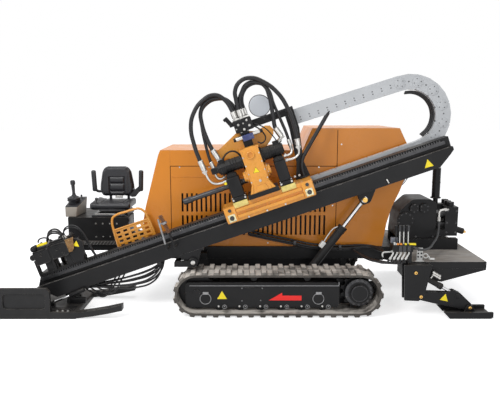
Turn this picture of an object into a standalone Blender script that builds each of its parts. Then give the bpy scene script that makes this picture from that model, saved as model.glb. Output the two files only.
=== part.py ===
"""Horizontal drilling machine on rubber tracks, parked with its mast tilted for drilling.

Metres, +Z up, drilling end towards -X, photographed side towards -Y.
Every piece is placed from the driving dimensions below. The mast group is
modelled along its own axis: u runs up the mast, w stands square to it.
"""
import math

import bmesh
import bpy
from mathutils import Matrix, Vector

# Fits between neighbours
GAP = 0.0003
SLIDE_GAP = 0.0008
PIN_GAP = 0.0008
FUSE = 0.01

# Facets round a circle
PIN_SIDES = 10
BORE_SIDES = 20
BAR_SIDES = 14
DRUM_SIDES = 24
HOSE_SIDES = 8

# Overall plan
FRONT_X = -3.30
REAR_X = 3.14
CENTRE_X = (FRONT_X + REAR_X) / 2
MACHINE_WIDTH = 2.25

# Tracks
TRACK_WIDTH = 0.45
TRACK_Y = (MACHINE_WIDTH - TRACK_WIDTH) / 2
TRACK_HEIGHT = 0.60
LUG_HEIGHT = 0.028
LUG_TAPER = 0.012
LUG_PAIRS = 39
LUG_CENTRE_STRIP = 0.05
BELT_THICKNESS = 0.030
IDLER_X = -0.70
SPROCKET_X = 1.431
AXLE_Z = TRACK_HEIGHT / 2
BELT_RADIUS = TRACK_HEIGHT / 2 - LUG_HEIGHT
BELT_INNER_RADIUS = BELT_RADIUS - BELT_THICKNESS

# Track frames, q measured outwards from a track's middle line
FRAME_FRONT_X = -0.845
FRAME_REAR_X = 1.169
FRAME_BOTTOM_Z = 0.103
FRAME_TOP_Z = 0.443
FRAME_CORNER = 0.05
FRAME_INNER_Q = -0.10
FRAME_OUTER_Q = 0.12
IDLER_SLOT_LENGTH = 0.60
YOKE_SLOT_HALF = 0.07
IDLER_HALF_WIDTH = 0.055
IDLER_RIM_GAP = 0.006
IDLER_AXLE_RADIUS = 0.05
ROLLER_RADIUS = 0.08
ROLLER_HALF_WIDTH = 0.098
ROLLER_COUNT = 6
ROLLER_PITCH = 0.27
FIRST_ROLLER_X = -0.40
CARRIER_RADIUS = 0.045
CARRIER_HALF_WIDTH = 0.09
CARRIER_XS = (0.05, 0.75)
SPROCKET_TEETH = 13
SPROCKET_DISC = 0.05
SPROCKET_TIP_RADIUS = BELT_INNER_RADIUS - 0.008
SPROCKET_ROOT_RADIUS = SPROCKET_TIP_RADIUS - 0.035
DRIVE_RADIUS = 0.142
DRIVE_STEP = 0.03
DRIVE_OUTER_Q = 0.15
DRIVE_ARM_HALF = 0.13

# Lift cylinder's plane, just inside the near track, and the mast's beside it
LIFT_TRACK_CLEARANCE = 0.012
LIFT_BARREL_RADIUS = 0.058
LIFT_GLAND = 0.005
LIFT_Y = -(TRACK_Y - TRACK_WIDTH / 2 - LIFT_TRACK_CLEARANCE - LIFT_BARREL_RADIUS - LIFT_GLAND)
MAST_Y = LIFT_Y - 0.10

# Chassis
DECK_TOP_Z = 0.77
DECK_PLATE = 0.025
CHASSIS_FRONT_X = -1.50
CHASSIS_REAR_X = 2.05
CHASSIS_NEAR_Y = LIFT_Y + 0.20
CHASSIS_FAR_Y = MACHINE_WIDTH / 2 - 0.185
RAIL_WIDTH = 0.12
RAIL_INSET = 0.15
RAIL_BOTTOM_Z = 0.60
END_BEAM = 0.10
CROSS_TUBE_XS = ((-0.25, -0.05), (0.97, 1.15))
CROSS_TUBE_Z = (0.20, 0.37)
BELLY_X = (-0.60, 1.30)
BELLY_Y = (CHASSIS_NEAR_Y + 0.10, CHASSIS_FAR_Y - 0.44)
BELLY_BOTTOM_Z = 0.26

# Mast
PIVOT_X = -0.75
PIVOT_Z = 0.68
MAST_TILT = math.radians(19.1)
MAST_HALF = 0.16
BEAM_BOTTOM_W = 0.137
BEAM_TOP_W = 0.345
RAIL_TOP_W = 0.475
RAIL_HALF = 0.08
MAST_FRONT_U = -2.11
MAST_REAR_U = 3.67
MAST_NOSE = 0.22
MAST_HEEL = 0.23
TILT_PIN_RADIUS = 0.035
SADDLE_BOSS_RADIUS = 0.07
SADDLE_FLANGE_HALF = 0.19
SADDLE_INSET = 0.03
BRACKET_BOSS_RADIUS = 0.06
BRACKET_ARM = 0.25

# Vises: u range, and the jaw window cut through below the jaws
DRILL_AXIS_W = 0.776
VISE_BORE_RADIUS = 0.07
VISE_TOP_W = DRILL_AXIS_W + 0.12
VISE_HALF = 0.18
VISE_WINDOW_W = (RAIL_TOP_W + 0.03, RAIL_TOP_W + 0.10)
VISES = (("vise_front", -2.01, -1.73, 0.09), ("vise_rear", -1.70, -1.42, 0.13))
VISE_CLAMP_RADIUS = 0.075
VISE_CLAMP_REACH = 0.05

# Step guard on the mast's far edge
GUARD_Y = MAST_Y + 0.23
GUARD_TUBE = 0.015
GUARD_U = (-0.985, -0.44)
GUARD_TOP_W = 0.88
GUARD_BAR_W = 0.69
GUARD_FOOT_W = (0.30, 0.38)
GUARD_SLOTS = (5, 4)
GUARD_SLOT_PITCH = (0.10, 0.062)
GUARD_SLOT = (0.056, 0.030)

# Drill head carriage, u measured from HEAD_U
HEAD_U = 1.20
CARRIAGE_U = (-0.59, 0.62)
CARRIAGE_TOP_W = 0.55
CARRIAGE_PLATE = 0.04
CARRIAGE_END = 0.16
CARRIAGE_NEAR_Y = MAST_Y - 0.24
CARRIAGE_FAR_Y = MAST_Y + RAIL_HALF + 0.045
CARRIAGE_RIDGE = 0.03
CARRIAGE_RIDGES_W = ((0.375, 0.415), (0.455, 0.495))
SHOE_LENGTH = 0.15
PAD_LENGTH = 0.18
THRUST_US = (-0.34, 0.30)
THRUST_HALF = 0.07
THRUST_FOOT = 0.015
THRUST_Y = MAST_Y - 0.14
GEARBOX_U = (-0.13, 0.10)
GEARBOX_TOP_W = 1.20
GEARBOX_Y = (MAST_Y - 0.28, MAST_Y + 0.12)
GEARBOX_FLARE = 0.06
GEARBOX_FLARE_W = 0.16
# Gear housing behind the gearbox: (u, rise above the gearbox's top)
HOUSING = ((-0.06, 0.23), (0.12, 0.15), (0.206, 0.156), (0.276, 0.175), (0.339, 0.153), (0.365, 0.10),
           (0.352, 0.042), (0.283, -0.033), (0.16, -0.12), (-0.20, -0.12), (-0.40, -0.045), (-0.435, 0.02),
           (-0.41, 0.07))
MOTOR_W = GEARBOX_TOP_W - 0.16
MOTOR_RADIUS = 0.085
MOTOR_Y = MAST_Y - 0.10
MOTOR_FLANGE = (0.03, 0.02)
THRUST_TOP_W = MOTOR_W - MOTOR_RADIUS - MOTOR_FLANGE[1]
MOTOR_LENGTHS = {"front": 0.34, "rear": 0.29}
SPINDLE_RADIUS = 0.035
SPINDLE_COLLAR = (0.12, 0.008)
SPINDLE_TIP_U = 0.13 - HEAD_U
SPINDLE_SEAT = 0.07

# Hose manifold on the gearbox, and the hoses that loop down to the four motors
MANIFOLD_STEM_HALF = 0.06
MANIFOLD_U = (-0.10, 0.13)
MANIFOLD_Y = (MAST_Y - 0.16, MAST_Y + 0.03)
MANIFOLD_W = (GEARBOX_TOP_W + 0.20, GEARBOX_TOP_W + 0.36)
HOSE_RADIUS = 0.023
HOSE_SPACING = 0.12
HOSE_UNION = 0.04
OUTER_HOSE_Y = THRUST_Y
INNER_HOSE_Y = MOTOR_Y + 0.02
# Each hose's loop: (u, rise above the manifold's top)
OUTER_FRONT_LOOP = ((-0.02, 0.12), (-0.06, 0.29), (-0.195, 0.398), (-0.416, 0.382), (-0.636, 0.144),
                    (-0.747, -0.157), (-0.69, -0.46), (-0.60, -0.64))
INNER_FRONT_LOOP = ((-0.075, 0.12), (-0.18, 0.26), (-0.341, 0.27), (-0.481, 0.091), (-0.55, -0.162),
                    (-0.585, -0.36), (-0.575, -0.47))
OUTER_REAR_LOOP = ((0.045, 0.12), (0.058, 0.31), (0.167, 0.443), (0.301, 0.443), (0.46, 0.288),
                   (0.595, 0.059),
                   (0.622, -0.208), (0.60, -0.49), (0.545, -0.64))
INNER_REAR_LOOP = ((0.10, 0.12), (0.13, 0.27), (0.23, 0.385), (0.381, 0.355), (0.467, 0.233),
                   (0.462, -0.021),
                   (0.425, -0.20), (0.35, -0.32))

# Drag chain
CHAIN_Y = (MAST_Y + 0.175, MAST_Y + 0.285)
CHAIN_HEIGHT = 0.20
CHAIN_NOTCH = (0.016, 0.018)
CHAIN_BEND_RADIUS = 0.45
CHAIN_BEND_U = 3.34
CHAIN_LOWER_W = 0.41
CHAIN_UPPER_W = CHAIN_LOWER_W + 2 * CHAIN_BEND_RADIUS
CHAIN_HEAD_W = GEARBOX_TOP_W + 0.15
CHAIN_HEAD_U = 1.90
CHAIN_LOWER_START_U = 0.60
CHAIN_LOWER_LINKS = 12
CHAIN_BEND_LINKS = 6
CHAIN_UPPER_LINKS = 6
TRAY_START_U = -0.25
TRAY_SHEET = 0.008
TRAY_LIP = 0.10
STRUT_THICKNESS = 0.04
BRACKET_ARM_HEIGHT = 0.10
GUIDE_DISC = (1.496, GEARBOX_TOP_W + 0.442, 0.145)

# Lift cylinder
LIFT_BASE_X = 0.70
LIFT_BASE_Z = 0.32
LIFT_EYE_U = 2.424
LIFT_EYE_W = 0.003
LIFT_ROD_RADIUS = 0.031
LIFT_BARREL_LENGTH = 0.945
LIFT_ROD_INSIDE = 0.30
LIFT_EYE_HALF = 0.034
LIFT_CHEEK = 0.026
LIFT_PIN_RADIUS = 0.024
LIFT_DRIFT = 0.020
EYE_WALL = 0.022

# Hose bundle that hangs under the mast
BUNDLE_RADIUS = 0.013
BUNDLE_PITCH = 0.045
BUNDLE_SAGS = (0.10, 0.15, 0.20)
BUNDLE_U = (-0.42, -1.50)

# Front anchor
ANCHOR_PIN_X = -2.40
ANCHOR_PIN_Z = 0.16
ANCHOR_PIN_RADIUS = 0.03
ANCHOR_LUG_HALF = 0.06
ANCHOR_EAR = 0.04
ANCHOR_SIDE_THICKNESS = 0.05
ANCHOR_SIDE_REAR_X = -2.575
ANCHOR_SIDE_TOP_Z = 0.406
ANCHOR_PLATE_TOP_Z = 0.09
ANCHOR_PLATE_REAR_X = -2.24
ANCHOR_RECESS = 0.02
SKID_TIP_X = -1.65
SKID_RISE = 0.11
SKID_HEIGHT = 0.075
SKID_WIDTH = 0.11

# Hood
HOOD_NEAR_Y = CHASSIS_NEAR_Y + 0.04
HOOD_FAR_Y = CHASSIS_FAR_Y - 0.02
HOOD_WALL = 0.025
HOOD_FRONT_X = -1.49
HOOD_LOW_TOP_Z = 2.12
HOOD_HIGH_TOP_Z = 2.42
HOOD_STEP_X = (0.72, 0.85)
HOOD_BAND_Z = 1.90
HOOD_FRONT_SEAM_X = -1.10
HOOD_REAR_SEAM_X = 1.20
HOOD_FRONT_CURVE = ((-1.235, HOOD_LOW_TOP_Z), (-1.264, 2.053), (-1.458, 1.319), (HOOD_FRONT_X, 1.15))
HOOD_REAR_CURVE = ((1.86, DECK_TOP_Z + GAP), (1.913, 1.10), (1.978, 1.33), (2.076, 1.546), (2.132, 1.707),
                   (2.164, 1.916), (2.181, 2.149), (2.046, HOOD_HIGH_TOP_Z))
LOUVRE_ROWS_Z = ((0.93, 1.21), (1.26, 1.52))
LOUVRE_FIRST_X = -0.94
LOUVRE_LAST_X = 1.02
LOUVRE_PITCH = 0.066
LOUVRE_WIDTH = 0.026
ENGINE_X = (-0.80, 0.55)
ENGINE_Y = (-0.05, 0.60)
ENGINE_TOP_Z = 1.65

# Far doors
DOOR_EDGE = 0.006
DOOR_SILL = 0.012
HINGE_ZS = (1.00, 1.70)
HINGE_KNUCKLE = 0.05
HINGE_RADIUS = 0.014
HINGE_OFFSET = 0.0145
HINGE_SEAM = 0.0065
HINGE_SEAM_OFFSET = 0.012
HINGE_LEAF = 0.07
HINGE_LEAF_HALF = 0.004

# Operator's station
STATION_X = (-2.70, -1.80)
STATION_Y = (0.10, CHASSIS_FAR_Y)
STATION_Z = (0.59, 1.09)
STATION_TOE = 0.14
STATION_FLOOR = 0.14
STATION_STEP_Y = STATION_Y[0] + 0.40
STATION_STEP_X = -1.98
SEAT_X = -2.05
SEAT_WIDTH = 0.62
SEAT_Y = (0.16, 0.70)
SEAT_BASE_HEIGHT = 0.10
CUSHION_HEIGHT = 0.12
BACK_THICKNESS = 0.11
BACK_HEIGHT = 0.51
ARMREST_RADIUS = 0.033
ARMREST_REACH = 0.05
ARMREST_Z = (0.10, 0.44)
CONSOLE_X = (STATION_X[0] - 0.02, STATION_X[0] + 0.26)
CONSOLE_Y = (0.14, 0.55)
CONSOLE_HEIGHTS = (0.16, 0.27)
STICK_Y = 0.30
STICK_HEIGHT = 0.55
STICK_RADIUS = 0.016

# Rear deck
DECK_REAR_X = 3.10
REAR_DECK_Z = (0.61, 0.70)
SKIRT_Z = 0.43
HANGER_X = (2.052, 2.12)

# Outriggers
OUTRIGGER_Y = MACHINE_WIDTH / 2 - 0.115
REAR_DECK_HALF = OUTRIGGER_Y - 0.06
OUTRIGGER_PIN = (2.22, 0.27)
OUTRIGGER_PIN_RADIUS = 0.024
OUTRIGGER_TOP_PIN = (2.14, 0.59)
LEG_HALF = 0.044
LEG_FORK_HALF = 0.024
LEG_SLOT_LENGTH = 0.26
LEG_LUG = (2.70, 0.27)
LEG_CYL_PIN_RADIUS = 0.014
LEG_DRIFT = 0.006
LEG_CYL_RADII = (0.038, 0.020)
LEG_CYL_EYE_HALF = 0.022
LEG_BARREL_LENGTH = 0.42
LEG_ROD_INSIDE = 0.15
FOOT_PIN = (2.866, 0.12)
FOOT_HALF = 0.16
FOOT_FRONT_X = 2.58
FOOT_PLATE = 0.04
FOOT_EAR = 0.026
FOOT_RIM = (0.035, 0.088)
FOOT_TOE = 0.08
ANCHOR_WIDTH = 2 * (OUTRIGGER_Y + FOOT_HALF + MAST_Y)

# Valve bank beside the rear deck
VALVE_X = (1.84, 2.10)
VALVE_Y = (-REAR_DECK_HALF - 0.10, -REAR_DECK_HALF + 0.05)
VALVE_Z = (0.86, 0.95)
VALVE_POST_X = (2.055, 2.095)
LEVER_XS = (1.89, 1.96, 2.03)
LEVER_TOP_Z = 1.20

# Mud pump
PUMP_HALF = 0.25
PUMP_BASE_X = (2.10, 2.95)
PUMP_BASE_TOP_Z = 0.86
PUMP_BEAM = 0.10
CASE_X = (2.08, 2.64)
CASE_TOP_Z = 1.42
CASE_BOSSES = ((2.317, 1.296, 0.065), (2.459, 1.296, 0.065), (2.20, 1.12, 0.12))
CASE_BOSS_DEPTH = 0.04
FLUID_X = (2.79, 2.97)
FLUID_Z = (0.88, 1.30)
FLUID_HALF = 0.20
PLUNGER_YS = (-0.12, 0.0, 0.12)
PLUNGER_RADIUS = 0.03
VALVE_CAP_RADIUS = 0.05
DAMPER_X = 2.70
DAMPER_RADIUS = 0.058
DAMPER_Z = (1.40, 1.84)
OUTLET_RADIUS = 0.045
SUCTION_RADIUS = 0.065
SUCTION_Y = 0.30

COLOURS = {
    "orange": ((0.70, 0.29, 0.06, 1), 0.35, 0.0),
    "black": ((0.02, 0.02, 0.022, 1), 0.4, 0.0),
    "rubber": ((0.10, 0.095, 0.09, 1), 0.8, 0.0),
    "hose": ((0.012, 0.012, 0.013, 1), 0.45, 0.0),
    "chrome": ((0.8, 0.8, 0.8, 1), 0.15, 1.0),
    "steel": ((0.25, 0.25, 0.26, 1), 0.35, 0.9),
    "chain_steel": ((0.55, 0.56, 0.58, 1), 0.4, 0.6),
    "seat_vinyl": ((0.015, 0.017, 0.025, 1), 0.5, 0.0),
    "console_grey": ((0.46, 0.41, 0.35, 1), 0.5, 0.0),
}
SIDES = (("near", -1), ("far", 1))


def clear_scene():
    for old in list(bpy.data.objects):
        bpy.data.objects.remove(old, do_unlink=True)


def material(colour):
    found = bpy.data.materials.get(colour)
    if found:
        return found
    made = bpy.data.materials.new(colour)
    made.use_nodes = True
    shader = made.node_tree.nodes["Principled BSDF"]
    base, rough, metal = COLOURS[colour]
    shader.inputs["Base Color"].default_value = base
    shader.inputs["Roughness"].default_value = rough
    shader.inputs["Metallic"].default_value = metal
    made.diffuse_color = base
    return made


def frame_empty(name, parent=None, location=(0, 0, 0), turn_y=0.0):
    """An axis empty: moving pieces hang from the one on their joint."""
    empty = bpy.data.objects.new(name, None)
    bpy.context.scene.collection.objects.link(empty)
    empty.parent = parent
    empty.location = location
    empty.rotation_euler = (0, turn_y, 0)
    return empty


def rounded(corners, radius, steps=3):
    """A closed side-view outline with each corner replaced by a curve."""
    outline = []
    count = len(corners)
    for index, corner in enumerate(corners):
        here = Vector(corner)
        before = Vector(corners[index - 1]) - here
        after = Vector(corners[(index + 1) % count]) - here
        reach = min(radius, before.length * 0.45, after.length * 0.45)
        start = here + before.normalized() * reach
        end = here + after.normalized() * reach
        for step in range(steps + 1):
            t = step / steps
            blend = start * (1 - t) ** 2 + here * 2 * t * (1 - t) + end * t ** 2
            outline.append((blend.x, blend.y))
    return outline


def inset(outline, distance):
    """The same closed outline, drawn anticlockwise, moved inwards by a wall's thickness."""
    moved = []
    count = len(outline)
    for index, corner in enumerate(outline):
        here = Vector(corner)
        before = (here - Vector(outline[index - 1])).normalized()
        after = (Vector(outline[(index + 1) % count]) - here).normalized()
        inward = Vector((-before.y - after.y, before.x + after.x)).normalized()
        reach = distance / max(inward.dot(Vector((-before.y, before.x))), 0.3)
        moved.append(tuple(here + inward * reach))
    return moved


def prism(outline, y_range):
    """A plate with the given side-view outline, across y_range."""
    mesh = bmesh.new()
    low, high = sorted(y_range)
    face = mesh.faces.new([mesh.verts.new((x, low, z)) for x, z in outline])
    grown = bmesh.ops.extrude_face_region(mesh, geom=[face])
    moved = [item for item in grown["geom"] if isinstance(item, bmesh.types.BMVert)]
    bmesh.ops.translate(mesh, verts=moved, vec=(0, high - low, 0))
    bmesh.ops.recalc_face_normals(mesh, faces=mesh.faces)
    return mesh


def box(x_range, y_range, z_range):
    (x0, x1), (z0, z1) = sorted(x_range), sorted(z_range)
    return prism([(x0, z0), (x1, z0), (x1, z1), (x0, z1)], y_range)


def post(x_range, y_range, z_range, chamfer):
    """A box whose four upright edges are bevelled."""
    mesh = box(x_range, y_range, z_range)
    upright = [edge for edge in mesh.edges
               if abs((edge.verts[0].co - edge.verts[1].co).normalized().z) > 0.99]
    bmesh.ops.bevel(mesh, geom=upright, offset=chamfer, offset_type="OFFSET", segments=1,
                    profile=0.5, affect="EDGES", material=-1)
    return mesh


def around(centre, half):
    return centre - half, centre + half


def rod(start, end, radius, sides=BAR_SIDES, end_radius=None):
    """A round bar between two points."""
    a, b = Vector(start), Vector(end)
    mesh = bmesh.new()
    turn = (b - a).to_track_quat("Z", "Y").to_matrix().to_4x4()
    bmesh.ops.create_cone(
        mesh, cap_ends=True, segments=sides, radius1=radius,
        radius2=radius if end_radius is None else end_radius, depth=(b - a).length,
        matrix=Matrix.Translation((a + b) / 2) @ turn)
    bmesh.ops.recalc_face_normals(mesh, faces=mesh.faces)
    return mesh


def cross_rod(x, z, y_range, radius, sides=BAR_SIDES, end_radius=None):
    """A round bar that runs across the machine."""
    return rod((x, y_range[0], z), (x, y_range[1], z), radius, sides, end_radius)


def tube_path(points, radius, sides=HOSE_SIDES):
    """A round tube swept along a path of points."""
    mesh = bmesh.new()
    path = [Vector(point) for point in points]
    rings = []
    side = None
    for index, here in enumerate(path):
        along = (path[min(index + 1, len(path) - 1)] - path[max(index - 1, 0)]).normalized()
        if side is None:
            side = along.orthogonal().normalized()
        side = (side - along * side.dot(along)).normalized()
        other = along.cross(side)
        ring = []
        for step in range(sides):
            angle = 2 * math.pi * step / sides
            offset = side * math.cos(angle) + other * math.sin(angle)
            ring.append(mesh.verts.new(here + offset * radius))
        rings.append(ring)
    for first, second in zip(rings, rings[1:]):
        for step in range(sides):
            after = (step + 1) % sides
            mesh.faces.new((first[step], first[after], second[after], second[step]))
    mesh.faces.new(rings[0][::-1])
    mesh.faces.new(rings[-1])
    bmesh.ops.recalc_face_normals(mesh, faces=mesh.faces)
    return mesh


def smooth_route(knots, spacing):
    """Points about one spacing apart on a smooth curve through a hose's own points."""
    knots = [Vector(knot) for knot in knots]
    padded = [2 * knots[0] - knots[1]] + knots + [2 * knots[-1] - knots[-2]]
    points = [knots[0]]
    for p0, p1, p2, p3 in zip(padded, padded[1:], padded[2:], padded[3:]):
        steps = max(1, round((p2 - p1).length / spacing))
        for step in range(1, steps + 1):
            t = step / steps
            points.append(((2 * p1) + (p2 - p0) * t + (2 * p0 - 5 * p1 + 4 * p2 - p3) * t * t
                           + (3 * p1 - p0 - 3 * p2 + p3) * t ** 3) / 2)
    return points


def loose(mesh):
    """A temporary object that holds one shape while it is joined or cut."""
    data = bpy.data.meshes.new("shape")
    mesh.to_mesh(data)
    mesh.free()
    item = bpy.data.objects.new("shape", data)
    bpy.context.scene.collection.objects.link(item)
    return item


def combine(base, tool, operation):
    step = base.modifiers.new("step", "BOOLEAN")
    step.operation = operation
    step.solver = "EXACT"
    step.object = tool
    bpy.context.view_layer.update()
    evaluated = base.evaluated_get(bpy.context.evaluated_depsgraph_get())
    data = bpy.data.meshes.new_from_object(evaluated)
    base.modifiers.clear()
    base.data = data
    bpy.data.objects.remove(tool, do_unlink=True)


def carved(base, tools, operation="DIFFERENCE"):
    """One shape after each tool has cut it, as a mesh that can be joined further."""
    body = loose(base)
    for tool in tools:
        combine(body, loose(tool), operation)
    shape = bmesh.new()
    shape.from_mesh(body.data)
    bpy.data.objects.remove(body, do_unlink=True)
    return shape


def piece(name, colour, parent, solids, cuts=(), smooth=35):
    """One named sub-part: its solids fused together, then its cuts taken out."""
    item = loose(solids[0])
    for extra in solids[1:]:
        combine(item, loose(extra), "UNION")
    for cut in cuts:
        combine(item, loose(cut), "DIFFERENCE")
    item.name = name
    item.data.name = name
    item.data.materials.clear()
    item.data.materials.append(material(colour))
    item.data.shade_smooth()
    item.data.set_sharp_from_angle(angle=math.radians(smooth))
    item.parent = parent
    return item


# Undercarriage

def track_station(length):
    """Point and outward normal on the belt's outer line, by length run from the idler's top."""
    straight = SPROCKET_X - IDLER_X
    half_turn = math.pi * BELT_RADIUS
    if length < straight:
        return (IDLER_X + length, AXLE_Z + BELT_RADIUS), (0.0, 1.0)
    length -= straight
    if length < half_turn:
        angle = length / BELT_RADIUS
        normal = (math.sin(angle), math.cos(angle))
        return (SPROCKET_X + BELT_RADIUS * normal[0], AXLE_Z + BELT_RADIUS * normal[1]), normal
    length -= half_turn
    if length < straight:
        return (SPROCKET_X - length, AXLE_Z - BELT_RADIUS), (0.0, -1.0)
    angle = math.pi + (length - straight) / BELT_RADIUS
    normal = (math.sin(angle), math.cos(angle))
    return (IDLER_X + BELT_RADIUS * normal[0], AXLE_Z + BELT_RADIUS * normal[1]), normal


def track_loop(side):
    """The rubber belt with two staggered rows of lugs drawn up from its outer face."""
    mesh = bmesh.new()
    centre = side * TRACK_Y
    half, strip = TRACK_WIDTH / 2, LUG_CENTRE_STRIP / 2
    columns = (centre - half, centre - strip, centre + strip, centre + half)
    stations = 2 * LUG_PAIRS
    perimeter = 2 * (SPROCKET_X - IDLER_X) + 2 * math.pi * BELT_RADIUS
    outer, inner = [], []
    for index in range(stations):
        (x, z), (nx, nz) = track_station(perimeter * index / stations)
        outer.append([mesh.verts.new((x, y, z)) for y in columns])
        xi, zi = x - nx * BELT_THICKNESS, z - nz * BELT_THICKNESS
        inner.append([mesh.verts.new((xi, y, zi)) for y in (columns[0], columns[-1])])
    lugs = []
    for index in range(stations):
        after = (index + 1) % stations
        for column in range(3):
            face = mesh.faces.new((outer[index][column], outer[after][column],
                                   outer[after][column + 1], outer[index][column + 1]))
            if column == (0 if index % 2 else 2):
                lugs.append(face)
        mesh.faces.new((inner[index][0], inner[index][1], inner[after][1], inner[after][0]))
        mesh.faces.new((outer[index][0], inner[index][0], inner[after][0], outer[after][0]))
        mesh.faces.new((outer[after][3], inner[after][1], inner[index][1], outer[index][3]))
    bmesh.ops.recalc_face_normals(mesh, faces=mesh.faces)
    bmesh.ops.inset_individual(mesh, faces=lugs, thickness=LUG_TAPER, depth=LUG_HEIGHT)
    return mesh


def outward(side, q_low, q_high):
    """A y range measured outwards from one track's middle line."""
    return sorted((side * (TRACK_Y + q_low), side * (TRACK_Y + q_high)))


def track_frame(side):
    """The side beam with its idler, track rollers, carrier rollers and final-drive arm."""
    corners = [(FRAME_FRONT_X, FRAME_BOTTOM_Z), (FRAME_REAR_X, FRAME_BOTTOM_Z),
               (FRAME_REAR_X, FRAME_TOP_Z), (FRAME_FRONT_X, FRAME_TOP_Z)]
    beam = prism(rounded(corners, FRAME_CORNER), outward(side, FRAME_INNER_Q, FRAME_OUTER_Q))
    slot = box(around(IDLER_X, IDLER_SLOT_LENGTH / 2), outward(side, -YOKE_SLOT_HALF, YOKE_SLOT_HALF),
               (0, TRACK_HEIGHT))
    solids = [carved(beam, [slot])]
    idler_y = outward(side, -IDLER_HALF_WIDTH, IDLER_HALF_WIDTH)
    solids.append(cross_rod(IDLER_X, AXLE_Z, idler_y, BELT_INNER_RADIUS - IDLER_RIM_GAP, DRUM_SIDES))
    axle_y = outward(side, FRAME_INNER_Q, FRAME_OUTER_Q + DRIVE_STEP / 2)
    solids.append(cross_rod(IDLER_X, AXLE_Z, axle_y, IDLER_AXLE_RADIUS, PIN_SIDES))

    roller_z = AXLE_Z - BELT_INNER_RADIUS + GAP + ROLLER_RADIUS
    roller_y = outward(side, -ROLLER_HALF_WIDTH, ROLLER_HALF_WIDTH)
    for index in range(ROLLER_COUNT):
        x = FIRST_ROLLER_X + ROLLER_PITCH * index
        solids.append(cross_rod(x, roller_z, roller_y, ROLLER_RADIUS, BAR_SIDES))
    carrier_z = AXLE_Z + BELT_INNER_RADIUS - GAP - CARRIER_RADIUS
    carrier_y = outward(side, -CARRIER_HALF_WIDTH, CARRIER_HALF_WIDTH)
    carrier_arm_y = outward(side, -CARRIER_HALF_WIDTH, -CARRIER_HALF_WIDTH / 1.5)
    for x in CARRIER_XS:
        solids.append(cross_rod(x, carrier_z, carrier_y, CARRIER_RADIUS, PIN_SIDES))
        solids.append(box(around(x, CARRIER_RADIUS / 1.5), carrier_arm_y, (FRAME_TOP_Z - FUSE, carrier_z)))

    arm_x = (FRAME_REAR_X - 2 * FRAME_CORNER, SPROCKET_X + DRIVE_ARM_HALF)
    arm = rounded([(arm_x[0], AXLE_Z - DRIVE_ARM_HALF), (arm_x[1], AXLE_Z - DRIVE_ARM_HALF),
                   (arm_x[1], AXLE_Z + DRIVE_ARM_HALF), (arm_x[0], AXLE_Z + DRIVE_ARM_HALF)], FRAME_CORNER)
    solids.append(prism(arm, outward(side, FRAME_INNER_Q, -YOKE_SLOT_HALF)))
    return solids


def sprocket(side):
    """The toothed drive wheel, with its final drive stepped out towards the outside."""
    teeth = []
    for tooth in range(SPROCKET_TEETH):
        for share, radius in ((-0.32, SPROCKET_ROOT_RADIUS), (-0.14, SPROCKET_TIP_RADIUS),
                              (0.14, SPROCKET_TIP_RADIUS), (0.32, SPROCKET_ROOT_RADIUS)):
            angle = 2 * math.pi * (tooth + share) / SPROCKET_TEETH
            teeth.append((SPROCKET_X + radius * math.cos(angle), AXLE_Z + radius * math.sin(angle)))
    drum_y = outward(side, -YOKE_SLOT_HALF + GAP, DRIVE_OUTER_Q - DRIVE_STEP)
    return [prism(teeth, outward(side, -SPROCKET_DISC / 2, SPROCKET_DISC / 2)),
            cross_rod(SPROCKET_X, AXLE_Z, drum_y, DRIVE_RADIUS, DRUM_SIDES),
            cross_rod(SPROCKET_X, AXLE_Z, outward(side, 0, DRIVE_OUTER_Q), DRIVE_RADIUS - DRIVE_STEP,
                      DRUM_SIDES)]


def make_undercarriage(root):
    for place, side in SIDES:
        piece(f"track_{place}", "rubber", root, [track_loop(side)], smooth=20)
        piece(f"track_frame_{place}", "black", root, track_frame(side))
        piece(f"sprocket_{place}", "black", root, sprocket(side))


# Chassis

def cheek_ranges(centre_y, eye_half, thickness):
    """The two plates beside a cylinder's eye, near one first."""
    inner = eye_half + PIN_GAP
    return (centre_y - inner - thickness, centre_y - inner), (centre_y + inner, centre_y + inner + thickness)


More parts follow.
